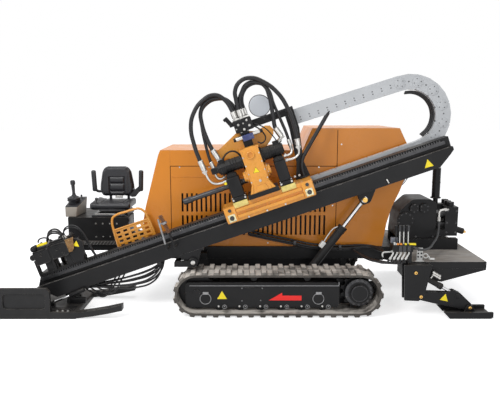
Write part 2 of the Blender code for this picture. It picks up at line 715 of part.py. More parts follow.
def make_chassis(root):
    rail_z = (RAIL_BOTTOM_Z, DECK_TOP_Z - DECK_PLATE + FUSE / 2)
    rail_near = (CHASSIS_NEAR_Y, CHASSIS_NEAR_Y + RAIL_WIDTH)
    rail_far = (CHASSIS_FAR_Y - RAIL_INSET - RAIL_WIDTH, CHASSIS_FAR_Y - RAIL_INSET)
    station_rear = STATION_X[1] + GAP
    station_arm = (STATION_Y[0] + 0.04, STATION_Y[0] + 0.04 + RAIL_WIDTH)
    solids = [box((CHASSIS_FRONT_X, CHASSIS_REAR_X), (CHASSIS_NEAR_Y, CHASSIS_FAR_Y),
                  (DECK_TOP_Z - DECK_PLATE, DECK_TOP_Z)),
              box((CHASSIS_FRONT_X, CHASSIS_REAR_X), rail_near, rail_z),
              box((station_rear, CHASSIS_REAR_X), rail_far, rail_z),
              box((station_rear, CHASSIS_FRONT_X + 2 * END_BEAM), station_arm, rail_z),
              box(BELLY_X, BELLY_Y, (BELLY_BOTTOM_Z, RAIL_BOTTOM_Z + FUSE))]
    tube_reach = TRACK_Y + FRAME_INNER_Q - GAP
    for x_range in CROSS_TUBE_XS:
        solids.append(box(x_range, (-tube_reach, tube_reach), CROSS_TUBE_Z))
    for x in (CHASSIS_FRONT_X, CHASSIS_REAR_X - END_BEAM):
        solids.append(box((x, x + END_BEAM), (rail_near[0] + FUSE, rail_far[1] - FUSE), rail_z))

    near_cheek, far_cheek = cheek_ranges(LIFT_Y, LIFT_EYE_HALF, LIFT_CHEEK)
    base_x = (LIFT_BASE_X - 0.07, LIFT_BASE_X + 0.09)
    ear = rounded([(base_x[0], LIFT_BASE_Z - 0.13), (base_x[1], LIFT_BASE_Z - 0.13),
                   (LIFT_BASE_X + 0.05, LIFT_BASE_Z + 0.05), (LIFT_BASE_X - 0.05, LIFT_BASE_Z + 0.05)],
                   0.04, 2)
    solids += [box(base_x, (near_cheek[0], BELLY_Y[0] + FUSE), (LIFT_BASE_Z - 0.15, LIFT_BASE_Z - 0.10)),
               box(base_x, (far_cheek[1] - FUSE, BELLY_Y[0] + FUSE),
                   (LIFT_BASE_Z - 0.12, LIFT_BASE_Z + 0.02)),
               prism(ear, near_cheek), prism(ear, far_cheek),
               cross_rod(LIFT_BASE_X, LIFT_BASE_Z, (near_cheek[0] - FUSE / 2, far_cheek[1] + FUSE / 2),
                         LIFT_PIN_RADIUS, BORE_SIDES)]
    piece("chassis_frame", "black", root, solids)

    saddle_near, saddle_far = MAST_Y - MAST_HALF, MAST_Y + MAST_HALF - SADDLE_INSET
    arm_near = (saddle_near - PIN_GAP - 0.045, saddle_near - PIN_GAP)
    arm_far = (saddle_far + PIN_GAP, saddle_far + PIN_GAP + 0.05)
    front = PIVOT_X - BRACKET_ARM
    low_z = PIVOT_Z - BRACKET_BOSS_RADIUS
    bar = [(front, low_z), (PIVOT_X, low_z), (PIVOT_X, PIVOT_Z + 0.02), (front + 0.05, PIVOT_Z + 0.015),
           (front, PIVOT_Z)]
    solids = []
    for reach in (arm_near, arm_far):
        solids += [prism(bar, reach), cross_rod(PIVOT_X, PIVOT_Z, reach, BRACKET_BOSS_RADIUS, BAR_SIDES)]
    solids += [box((front, front + 0.05), (arm_near[0], CHASSIS_NEAR_Y - GAP), (low_z, PIVOT_Z)),
               box((front, PIVOT_X + 0.15), (arm_far[0] + 0.02, CHASSIS_NEAR_Y - GAP),
                   (low_z, PIVOT_Z + 0.035)),
               cross_rod(PIVOT_X, PIVOT_Z, (arm_near[0] - 0.012, arm_far[1]), TILT_PIN_RADIUS, BORE_SIDES)]
    piece("mast_pivot_bracket", "black", root, solids)


# Mast

def to_mast(x, z):
    """A place in the side view as u and w of the mast at rest."""
    dx, dz = x - PIVOT_X, z - PIVOT_Z
    return (dx * math.cos(MAST_TILT) + dz * math.sin(MAST_TILT),
            dz * math.cos(MAST_TILT) - dx * math.sin(MAST_TILT))


def from_mast(u, w):
    return (PIVOT_X + u * math.cos(MAST_TILT) - w * math.sin(MAST_TILT),
            PIVOT_Z + u * math.sin(MAST_TILT) + w * math.cos(MAST_TILT))


def hanging_lug(centre, spread, drop, corner):
    """A lug's outline from inside the beam's floor down round its pin."""
    u, w = centre
    top = BEAM_BOTTOM_W + FUSE
    return rounded([(u - spread[0], top), (u - drop, w - drop), (u + drop, w - drop), (u + spread[1], top)],
                   corner, 2)


def make_beam(mast):
    """Box beam with the narrower rail on top, the lift cylinder's cheeks and the anchor's lug."""
    beam = [(MAST_FRONT_U, BEAM_TOP_W), (MAST_FRONT_U + MAST_NOSE, BEAM_BOTTOM_W),
            (MAST_REAR_U - MAST_HEEL, BEAM_BOTTOM_W), (MAST_REAR_U - 0.06, BEAM_BOTTOM_W + 0.115),
            (MAST_REAR_U, BEAM_TOP_W - 0.045), (MAST_REAR_U, BEAM_TOP_W)]
    rail = [(MAST_FRONT_U, BEAM_TOP_W - FUSE), (MAST_REAR_U, BEAM_TOP_W - FUSE),
            (MAST_REAR_U, RAIL_TOP_W), (MAST_FRONT_U + 0.09, RAIL_TOP_W)]
    solids = [prism(beam, around(MAST_Y, MAST_HALF)), prism(rail, around(MAST_Y, RAIL_HALF))]
    eye = (LIFT_EYE_U, LIFT_EYE_W)
    for reach in cheek_ranges(LIFT_Y, LIFT_EYE_HALF, LIFT_CHEEK):
        solids.append(prism(hanging_lug(eye, (0.075, 0.22), 0.058, 0.03), reach))
    anchor_pin = to_mast(ANCHOR_PIN_X, ANCHOR_PIN_Z)
    solids.append(prism(hanging_lug(anchor_pin, (0.10, 0.10), 0.05, 0.03), around(MAST_Y, ANCHOR_LUG_HALF)))
    cuts = [cross_rod(*anchor_pin, around(MAST_Y, MAST_HALF), ANCHOR_PIN_RADIUS + PIN_GAP, BORE_SIDES),
            cross_rod(*eye, around(LIFT_Y, MAST_HALF), LIFT_PIN_RADIUS + LIFT_DRIFT, BAR_SIDES)]
    piece("mast_beam", "black", mast, solids, cuts)


def make_saddle(mast):
    reach = (MAST_Y - MAST_HALF, MAST_Y + MAST_HALF - SADDLE_INSET)
    flange = box(around(0, SADDLE_FLANGE_HALF), reach, (BEAM_BOTTOM_W - 0.028, BEAM_BOTTOM_W - GAP))
    web = [(-0.15, BEAM_BOTTOM_W - 0.02), (-SADDLE_BOSS_RADIUS + 0.004, -0.02),
           (SADDLE_BOSS_RADIUS - 0.004, -0.02), (0.15, BEAM_BOTTOM_W - 0.02)]
    boss = cross_rod(0, 0, reach, SADDLE_BOSS_RADIUS, DRUM_SIDES)
    bore = cross_rod(0, 0, around(MAST_Y, 2 * MAST_HALF), TILT_PIN_RADIUS + PIN_GAP, BORE_SIDES)
    piece("mast_saddle", "black", mast, [flange, prism(web, reach), boss], [bore])


def make_vises(mast):
    """Each vise grips the drill rod between two clamp cylinders that lie across the mast."""
    sides = around(MAST_Y, VISE_HALF)
    for name, u_start, u_end, window in VISES:
        body = rounded([(u_start, RAIL_TOP_W + GAP), (u_end, RAIL_TOP_W + GAP), (u_end, VISE_TOP_W),
                        (u_start, VISE_TOP_W)], 0.02, 2)
        middle = (u_start + u_end) / 2
        clamp = cross_rod(middle, DRILL_AXIS_W - 0.02, (sides[0] - VISE_CLAMP_REACH, sides[0] + FUSE),
                          VISE_CLAMP_RADIUS, BAR_SIDES)
        bore = rod((u_start - FUSE, MAST_Y, DRILL_AXIS_W), (u_end + FUSE, MAST_Y, DRILL_AXIS_W),
                   VISE_BORE_RADIUS, BAR_SIDES)
        opening = box(around(middle, window / 2), (sides[0] - FUSE, sides[1] + FUSE), VISE_WINDOW_W)
        piece(name, "black", mast, [prism(body, sides), clamp], [bore, opening])


def make_guard(mast):
    """Bent tube frame with a slotted tread panel, on two feet that reach from the beam's side."""
    (start, end), y = GUARD_U, GUARD_Y
    hoop = [(start, GUARD_FOOT_W[1] - FUSE), (start + 0.02, 0.62), (start + 0.045, GUARD_TOP_W - 0.06),
            (start + 0.10, GUARD_TOP_W), (end - 0.10, GUARD_TOP_W - 0.005),
            (end - 0.035, GUARD_TOP_W - 0.06),
            (end, 0.62), (end, GUARD_FOOT_W[1] - FUSE)]
    solids = [tube_path([(u, y, w) for u, w in hoop], GUARD_TUBE, 6)]
    solids.append(rod((start + 0.03, y, GUARD_BAR_W), (end - 0.005, y, GUARD_BAR_W), GUARD_TUBE * 0.8, 6))
    panel_low = GUARD_FOOT_W[1] + 0.04
    solids.append(box((start + 0.025, end - 0.01), around(y, 0.003), (panel_low, GUARD_BAR_W)))
    for u in (start + 0.005, end):
        solids.append(box(around(u, 0.03), (MAST_Y + MAST_HALF + GAP, y + 0.01), GUARD_FOOT_W))
    columns, rows = GUARD_SLOTS
    centre_u = (start + end) / 2
    cuts = []
    for column in range(columns):
        for row in range(rows):
            u = centre_u + GUARD_SLOT_PITCH[0] * (column - (columns - 1) / 2)
            w = panel_low + 0.035 + GUARD_SLOT_PITCH[1] * row
            cuts.append(box(around(u, GUARD_SLOT[0] / 2), around(y, 0.02), around(w, GUARD_SLOT[1] / 2)))
    piece("step_guard", "orange", mast, solids, cuts)


def make_tray(mast):
    near, far = MAST_Y + MAST_HALF + GAP, CHAIN_Y[1] + 0.015
    floor_w = CHAIN_LOWER_W - CHAIN_HEIGHT / 2 - 0.006
    reach = (TRAY_START_U, MAST_REAR_U - 0.02)
    piece("chain_tray", "black", mast, [
        box(reach, (near, far), (floor_w - TRAY_SHEET, floor_w)),
        box(reach, (far - TRAY_SHEET, far), (floor_w - TRAY_SHEET / 2, floor_w + TRAY_LIP)),
        box(reach, (near, near + TRAY_SHEET), (floor_w - 0.06, floor_w - TRAY_SHEET / 2))])


def make_mast_hoses(mast):
    """Three hoses clipped to the beam's underside at both ends, each with its own sag."""
    start_u, end_u = BUNDLE_U
    solids = []
    for u in BUNDLE_U:
        solids.append(box(around(u, 0.03), around(MAST_Y, 1.6 * BUNDLE_PITCH),
                          (BEAM_BOTTOM_W - 0.05, BEAM_BOTTOM_W - GAP)))
    for index, sag in enumerate(BUNDLE_SAGS):
        y = MAST_Y + BUNDLE_PITCH * (index - 1)
        top = BEAM_BOTTOM_W - 0.03
        knots = []
        for share, depth in ((0, 0), (0.10, 0.45), (0.28, 0.95), (0.50, 1.0), (0.74, 0.62), (0.90, 0.18),
                             (1, 0)):
            knots.append((start_u + (end_u - start_u) * share, y, top - sag * depth))
        solids.append(tube_path(smooth_route(knots, 8 * BUNDLE_RADIUS), BUNDLE_RADIUS, 5))
    piece("mast_hoses", "hose", mast, solids)


# Drill head

def make_carriage(head):
    """Saddle over the rail: near side plate with two long ridges, top plate, far plate and shoes."""
    start, end = CARRIAGE_U
    near, far = CARRIAGE_NEAR_Y, CARRIAGE_FAR_Y
    side_low = BEAM_TOP_W + 0.008
    side = rounded([(start, side_low - 0.02), (end, side_low - 0.02), (end, CARRIAGE_TOP_W),
                    (start, CARRIAGE_TOP_W)], 0.03, 2)
    solids = [prism(side, (near, near + CARRIAGE_PLATE)),
              box(CARRIAGE_U, (near + FUSE, far), (CARRIAGE_TOP_W - CARRIAGE_PLATE, CARRIAGE_TOP_W)),
              box(CARRIAGE_U, (far - 0.03, far), (side_low, CARRIAGE_TOP_W - FUSE))]
    for shoe in (start, end - SHOE_LENGTH):
        solids.append(box((shoe, shoe + SHOE_LENGTH), around(MAST_Y, RAIL_HALF - FUSE),
                          (RAIL_TOP_W + SLIDE_GAP, CARRIAGE_TOP_W - CARRIAGE_PLATE / 2)))
    for w_range in CARRIAGE_RIDGES_W:
        solids.append(box((start + CARRIAGE_END, end - CARRIAGE_END), (near - CARRIAGE_RIDGE, near + FUSE),
                          w_range))
    for u in THRUST_US:
        solids.append(box(around(u, PAD_LENGTH / 2), (near - FUSE, near + FUSE),
                          (CARRIAGE_TOP_W - 0.05, CARRIAGE_TOP_W)))
    piece("carriage", "orange", head, solids)


def make_gearbox(head):
    """A narrow upright front on a flared foot, with the gear housing behind it."""
    base = CARRIAGE_TOP_W + GAP
    (start, end), top = GEARBOX_U, GEARBOX_TOP_W
    flare, flare_top = GEARBOX_FLARE, base + GEARBOX_FLARE_W
    front = rounded([(start - flare, base), (end + flare, base), (end, flare_top), (end, top - 0.04),
                     (end - 0.05, top), (start + 0.05, top), (start, top - 0.04), (start, flare_top)], 0.02,
                     2)
    back = (GEARBOX_Y[1] - 0.085, GEARBOX_Y[1] + 0.02)
    solids = [prism(front, GEARBOX_Y), prism([(u, top + rise) for u, rise in HOUSING], back)]
    bore = rod((start - flare - FUSE, MAST_Y, DRILL_AXIS_W),
               (start + SPINDLE_SEAT + FUSE, MAST_Y, DRILL_AXIS_W),
               SPINDLE_RADIUS + PIN_GAP, BORE_SIDES)
    piece("rotary_gearbox", "orange", head, solids, [bore])


def make_motors(head):
    base = CARRIAGE_TOP_W + GAP
    for place, u in zip(("front", "rear"), THRUST_US):
        foot = THRUST_HALF + THRUST_FOOT
        piece(f"thrust_motor_{place}", "black", head, [
            post(around(u, THRUST_HALF), around(THRUST_Y, THRUST_HALF), (base, THRUST_TOP_W), 0.02),
            box(around(u, foot), around(THRUST_Y, foot - FUSE), (base, base + 0.05))])
    thick, lip = MOTOR_FLANGE
    for place, seat, sign in (("front", GEARBOX_U[0] - GAP, -1), ("rear", GEARBOX_U[1] + GAP, 1)):
        seat_at = (seat, MOTOR_Y, MOTOR_W)
        end = seat + sign * MOTOR_LENGTHS[place]
        piece(f"rotary_motor_{place}", "black", head, [
            rod(seat_at, (seat + sign * thick, MOTOR_Y, MOTOR_W), MOTOR_RADIUS + lip, BAR_SIDES),
            rod(seat_at, (end, MOTOR_Y, MOTOR_W), MOTOR_RADIUS, BAR_SIDES),
            rod((end - sign * 3 * thick, MOTOR_Y, MOTOR_W), (end - sign * thick, MOTOR_Y, MOTOR_W),
                MOTOR_RADIUS + lip / 2, BAR_SIDES)])


def make_manifold(head):
    stem = box(around(0, MANIFOLD_STEM_HALF), (MANIFOLD_Y[0] + 0.02, MANIFOLD_Y[1] - 0.04),
               (GEARBOX_TOP_W + GAP, MANIFOLD_W[0] + FUSE))
    piece("hose_manifold", "black", head, [stem, box(MANIFOLD_U, MANIFOLD_Y, MANIFOLD_W)])


def make_head_hoses(head):
    """Two hoses a side, held by a union block on the manifold and ending at their motors' ports."""
    top = MANIFOLD_W[1]
    motor_front = GEARBOX_U[0] - GAP - MOTOR_LENGTHS["front"] - GAP
    motor_rear_u = GEARBOX_U[1] + 0.8 * MOTOR_LENGTHS["rear"]
    motor_top = MOTOR_W + MOTOR_RADIUS + MOTOR_FLANGE[1] / 2 + GAP
    port_w = THRUST_TOP_W - 0.065
    front_port, rear_port = THRUST_US[0] - THRUST_HALF - GAP, THRUST_US[1] + THRUST_HALF + GAP
    runs = {}
    for name, union_u, loop, end in (
            ("outer_front", -0.02, OUTER_FRONT_LOOP, ((-0.51, port_w), (front_port, port_w))),
            ("inner_front", -0.07, INNER_FRONT_LOOP,
             ((motor_front - 0.06, MOTOR_W), (motor_front, MOTOR_W))),
            ("outer_rear", 0.05, OUTER_REAR_LOOP, ((rear_port + 0.07, port_w), (rear_port, port_w))),
            ("inner_rear", 0.10, INNER_REAR_LOOP,
             ((motor_rear_u, motor_top + 0.06), (motor_rear_u, motor_top)))):
        runs[name] = ((union_u, top + HOSE_UNION), *((u, top + rise) for u, rise in loop), *end)
    for place, union_u in (("front", (-0.10, 0.013)), ("rear", (0.0133, 0.13))):
        union = box(union_u, (MANIFOLD_Y[0] + 0.005, MANIFOLD_Y[1]), (top + GAP, top + HOSE_UNION + FUSE))
        solids = [union]
        for run, y_start, y_end in ((runs[f"outer_{place}"], MANIFOLD_Y[0] + 0.035, OUTER_HOSE_Y),
                                    (runs[f"inner_{place}"], MANIFOLD_Y[1] - 0.035, INNER_HOSE_Y)):
            knots = []
            for index, (u, w) in enumerate(run):
                blend = min(1.0, index / 4)
                knots.append((u, y_start + (y_end - y_start) * blend, w))
            solids.append(tube_path(smooth_route(knots, HOSE_SPACING), HOSE_RADIUS))
        piece(f"head_hoses_{place}", "hose", head, solids)


def link_edge(start, end, links, depth_side):
    """One edge of a straight chain run, notched where two links meet; ends are left plain."""
    (x0, z0), (x1, z1) = start, end
    length = math.hypot(x1 - x0, z1 - z0)
    along = ((x1 - x0) / length, (z1 - z0) / length)
    half, depth = CHAIN_NOTCH[0] / 2, CHAIN_NOTCH[1] * depth_side
    points = [start]
    for index in range(1, links):
        at = length * index / links
        for run, inward in ((at - half, 0), (at, depth), (at + half, 0)):
            points.append((x0 + along[0] * run - along[1] * inward, z0 + along[1] * run + along[0] * inward))
    return points + [end]


def make_chain_bracket(head):
    base = CARRIAGE_TOP_W + GAP
    near = MAST_Y + 0.10
    strut_y = (near, near + STRUT_THICKNESS)
    end_u = CHAIN_HEAD_U - HEAD_U - GAP
    start_u = end_u - 0.04
    top = CHAIN_HEAD_W + 0.15
    knee, arm_low = base + 0.22, top - BRACKET_ARM_HEIGHT
    strut = [(start_u - 0.22, base), (start_u - 0.02, base), (start_u - 0.045, knee),
             (end_u, CHAIN_HEAD_W - 0.15),
             (end_u, top), (0.09, top), (0.09, arm_low), (start_u - 0.09, arm_low),
             (start_u - 0.09, CHAIN_HEAD_W - 0.13), (start_u - 0.14, knee)]
    plate = box((start_u, end_u), (strut_y[0], CHAIN_Y[1]), around(CHAIN_HEAD_W, CHAIN_HEIGHT / 2 - FUSE))
    piece("chain_bracket", "black", head, [prism(strut, strut_y), plate])
    disc_u, disc_w, disc_radius = GUIDE_DISC
    disc_y = (strut_y[1] + GAP, CHAIN_Y[0] - 0.005)
    piece("chain_guide_disc", "chain_steel", head, [
        cross_rod(disc_u - HEAD_U, disc_w, disc_y, disc_radius, DRUM_SIDES)])


def make_chain_upper(head):
    half = CHAIN_HEIGHT / 2
    start, end = CHAIN_HEAD_U - HEAD_U, CHAIN_BEND_U - HEAD_U - GAP
    top = link_edge((start, CHAIN_HEAD_W + half), (end, CHAIN_UPPER_W + half), CHAIN_UPPER_LINKS, -1)
    bottom = link_edge((start, CHAIN_HEAD_W - half), (end, CHAIN_UPPER_W - half), CHAIN_UPPER_LINKS, 1)
    piece("chain_upper", "chain_steel", head, [prism(top + bottom[::-1], CHAIN_Y)])


def make_chain_loop(axis):
    """The chain's lower run and its half turn round the bend's centre, as notched links."""
    half = CHAIN_HEIGHT / 2
    centre_w = CHAIN_LOWER_W + CHAIN_BEND_RADIUS
    start_u = CHAIN_LOWER_START_U - CHAIN_BEND_U
    edges = {}
    for sign in (1, -1):
        radius = CHAIN_BEND_RADIUS + sign * half
        notch = CHAIN_NOTCH[0] / 2 / radius
        polar = [(math.pi / 2, radius)]
        for index in range(1, CHAIN_BEND_LINKS):
            angle = math.pi / 2 - math.pi * index / CHAIN_BEND_LINKS
            middle = angle + math.pi / CHAIN_BEND_LINKS / 2
            polar += [(middle, radius), (angle + notch, radius), (angle, radius - sign * CHAIN_NOTCH[1]),
                      (angle - notch, radius)]
        polar += [(-math.pi / 2 + math.pi / CHAIN_BEND_LINKS / 2, radius), (-math.pi / 2, radius)]
        edges[sign] = [(r * math.cos(a), centre_w + r * math.sin(a)) for a, r in polar]
    low = link_edge((0, CHAIN_LOWER_W - half), (start_u, CHAIN_LOWER_W - half), CHAIN_LOWER_LINKS, -1)
    high = link_edge((0, CHAIN_LOWER_W + half), (start_u, CHAIN_LOWER_W + half), CHAIN_LOWER_LINKS, 1)
    outline = edges[1][:-1] + low + high[::-1] + edges[-1][::-1][1:]
    piece("chain_loop", "chain_steel", axis, [prism(outline, CHAIN_Y)])


def make_spindle(axis):
    length, lip = SPINDLE_COLLAR
    piece("drive_spindle", "steel", axis, [
        rod((SPINDLE_TIP_U, 0, 0), (GEARBOX_U[0] + SPINDLE_SEAT, 0, 0), SPINDLE_RADIUS, BORE_SIDES),
        rod((SPINDLE_TIP_U, 0, 0), (SPINDLE_TIP_U + length, 0, 0), SPINDLE_RADIUS + lip, BAR_SIDES)])


# Front anchor, around its pin

def make_anchor(anchor):
    """A sled on the ground: a base plate with a curved skid on each side, and a tall near side plate."""
    ground = -ANCHOR_PIN_Z
    front, side_rear = FRONT_X - ANCHOR_PIN_X, ANCHOR_SIDE_REAR_X - ANCHOR_PIN_X
    plate_rear, plate_top = ANCHOR_PLATE_REAR_X - ANCHOR_PIN_X, ground + ANCHOR_PLATE_TOP_Z
    half = ANCHOR_WIDTH / 2
    plate = rounded([(front, ground), (plate_rear, ground), (plate_rear, plate_top), (front, plate_top)],
                    0.02, 2)
    solids = [prism(plate, around(MAST_Y, half))]
    tip, start = SKID_TIP_X - ANCHOR_PIN_X, plate_rear - 0.16
    lower, upper = [], []
    for step in range(5):
        share = step / 4
        x, rise = start + (tip - start) * share, SKID_RISE * share ** 1.6
        lower.append((x, ground + rise))
        upper.append((x, ground + rise + SKID_HEIGHT))
    for side in (-1, 1):
        outer = MAST_Y + side * half
        solids.append(prism(lower + upper[::-1], (outer, outer - side * SKID_WIDTH)))
    near = MAST_Y - half
    side_top = ground + ANCHOR_SIDE_TOP_Z
    side_plate = [(front, ground + FUSE), (side_rear, ground + FUSE), (side_rear, side_top - 0.05),
                  (side_rear - 0.04, side_top), (front, side_top)]
    solids.append(prism(side_plate, (near, near + ANCHOR_SIDE_THICKNESS)))
    recess = rounded([(front + 0.12, plate_top + 0.04), (side_rear - 0.06, plate_top + 0.04),
                      (side_rear - 0.06, side_top - 0.07), (front + 0.12, side_top - 0.07)], 0.05, 2)
    cuts = [prism(recess, (near - FUSE, near + ANCHOR_RECESS))]
    ear = rounded([(-0.09, plate_top - FUSE), (0.09, plate_top - FUSE), (0.05, 0.05), (-0.05, 0.05)], 0.04,
                  2)
    inner = ANCHOR_LUG_HALF + PIN_GAP
    for sign in (-1, 1):
        solids.append(prism(ear, (MAST_Y + sign * inner, MAST_Y + sign * (inner + ANCHOR_EAR))))
    solids.append(cross_rod(0, 0, around(MAST_Y, inner + ANCHOR_EAR + 0.015), ANCHOR_PIN_RADIUS, BORE_SIDES))
    piece("front_anchor", "black", anchor, solids, cuts)


def cylinder_pair(names, barrel_axis, rod_axis, radii, lengths, eye_half, pin_radius, own_pin, sides):
    """A cylinder along its own +X: barrel's eye at the origin, rod's eye at reach."""
    barrel_radius, rod_radius = radii
    barrel_length, inside, reach = lengths
    eye_radius = pin_radius + EYE_WALL
    neck = box((0, eye_radius + 0.06), around(0, eye_half), around(0, eye_radius * 0.8))
    hole = cross_rod(0, 0, around(0, 0.2), pin_radius + PIN_GAP, BORE_SIDES)
    mouth = rod((barrel_length - 0.06, 0, 0), (barrel_length + FUSE, 0, 0), rod_radius + GAP, sides)
    deep = rod((eye_radius + 0.08, 0, 0), (barrel_length - 0.05, 0, 0), rod_radius + 0.012, sides)
    piece(names[0], "black", barrel_axis, [
        rod((eye_radius + 0.05, 0, 0), (barrel_length, 0, 0), barrel_radius, sides),
        rod((barrel_length - 0.05, 0, 0), (barrel_length, 0, 0), barrel_radius + LIFT_GLAND, sides),
        neck, cross_rod(0, 0, around(0, eye_half), eye_radius, sides)], [hole, deep, mouth])
    solids = [rod((barrel_length - inside, 0, 0), (reach - eye_radius * 0.8, 0, 0), rod_radius, sides),
              cross_rod(reach, 0, around(0, eye_half), eye_radius, sides)]
    if own_pin:
        solids.append(cross_rod(reach, 0, around(0, own_pin), pin_radius, BORE_SIDES))
    piece(names[1], "chrome", rod_axis, solids)


# Hood and engine

def hood_shape():
    """The hood's outside and its inside, open below."""
    outline = [(HOOD_FRONT_X, DECK_TOP_Z + GAP), *HOOD_REAR_CURVE, (HOOD_STEP_X[1], HOOD_HIGH_TOP_Z),
               (HOOD_STEP_X[0], HOOD_LOW_TOP_Z), *HOOD_FRONT_CURVE]
    inner = inset(outline, HOOD_WALL)
    inner = [(x, z - 0.1 if z < DECK_TOP_Z + 2 * HOOD_WALL else z) for x, z in inner]
    return (prism(outline, (HOOD_NEAR_Y, HOOD_FAR_Y)),
            prism(inner, (HOOD_NEAR_Y + HOOD_WALL, HOOD_FAR_Y - HOOD_WALL)))


def louvre_cuts(y):
    cuts = []
    count = int((LOUVRE_LAST_X - LOUVRE_FIRST_X) / LOUVRE_PITCH + 0.5) + 1
    for z_range in LOUVRE_ROWS_Z:
        for index in range(count):
            x = LOUVRE_FIRST_X + LOUVRE_PITCH * index
            cuts.append(box(around(x, LOUVRE_WIDTH / 2), around(y, 2 * HOOD_WALL), z_range))
    return cuts


def hinge_knuckles(axis, moving):
    """Stacked knuckles on a door's axis: the middle one of each three belongs to the door."""
    solids = []
    away = -1 if axis.location.x < 0 else 1
    x, y = (0, 0) if moving else (axis.location.x, axis.location.y)
    start = 0 if moving else away * HINGE_SEAM
    reach = -away * HINGE_LEAF if moving else away * HINGE_LEAF
    for z in HINGE_ZS:
        spans = [(z, z + HINGE_KNUCKLE)] if moving else [
            (z - HINGE_KNUCKLE, z - SLIDE_GAP), (z + HINGE_KNUCKLE + SLIDE_GAP, z + 2 * HINGE_KNUCKLE)]
        for low, high in spans:
            solids.append(rod((x, y, low), (x, y, high), HINGE_RADIUS, PIN_SIDES))
            solids.append(box((x + start, x + reach), around(y - HINGE_OFFSET, HINGE_LEAF_HALF),
                              (low, high)))
    return solids


def make_hood(root, door_axes):
    beyond = 5.0
    fixed_leaves = {"hood_front": door_axes["front"], "hood_rear": door_axes["rear"]}
    for name, x_range, z_range in (
            ("hood_front", (-beyond, HOOD_FRONT_SEAM_X - GAP), (0, beyond)),
            ("hood_roof", (HOOD_FRONT_SEAM_X, HOOD_REAR_SEAM_X), (HOOD_BAND_Z + GAP, beyond)),
            ("hood_rear", (HOOD_REAR_SEAM_X + GAP, beyond), (0, beyond))):
        outer, inner = hood_shape()
        shell = carved(outer, [inner])
        solids = [carved(shell, [box(x_range, around(0, beyond), z_range)], "INTERSECT")]
        if name in fixed_leaves:
            solids += hinge_knuckles(fixed_leaves[name], False)
        piece(name, "orange", root, solids)
    side_x = (HOOD_FRONT_SEAM_X + GAP, HOOD_REAR_SEAM_X - GAP)
    side_z = (DECK_TOP_Z + GAP, HOOD_BAND_Z - GAP)
    panel = box(side_x, (HOOD_NEAR_Y, HOOD_NEAR_Y + HOOD_WALL), side_z)
    piece("hood_near_panel", "orange", root, [panel], louvre_cuts(HOOD_NEAR_Y))
    middle = sum(side_x) / 2
    for place, low, high in (("front", side_x[0] + DOOR_EDGE, middle - 1.5 * DOOR_EDGE),
                             ("rear", middle + 1.5 * DOOR_EDGE, side_x[1] - DOOR_EDGE)):
        axis = door_axes[place]
        base_x, base_y = axis.location.x, axis.location.y
        door = box((low - base_x, high - base_x), (HOOD_FAR_Y - HOOD_WALL - base_y, HOOD_FAR_Y - base_y),
                   (side_z[0] + DOOR_SILL, side_z[1] - DOOR_EDGE))
        piece(f"hood_far_door_{place}", "orange", axis, [door] + hinge_knuckles(axis, True))
    piece("engine_block", "steel", root, [box(ENGINE_X, ENGINE_Y, (DECK_TOP_Z + GAP, ENGINE_TOP_Z))])


# Operator's station

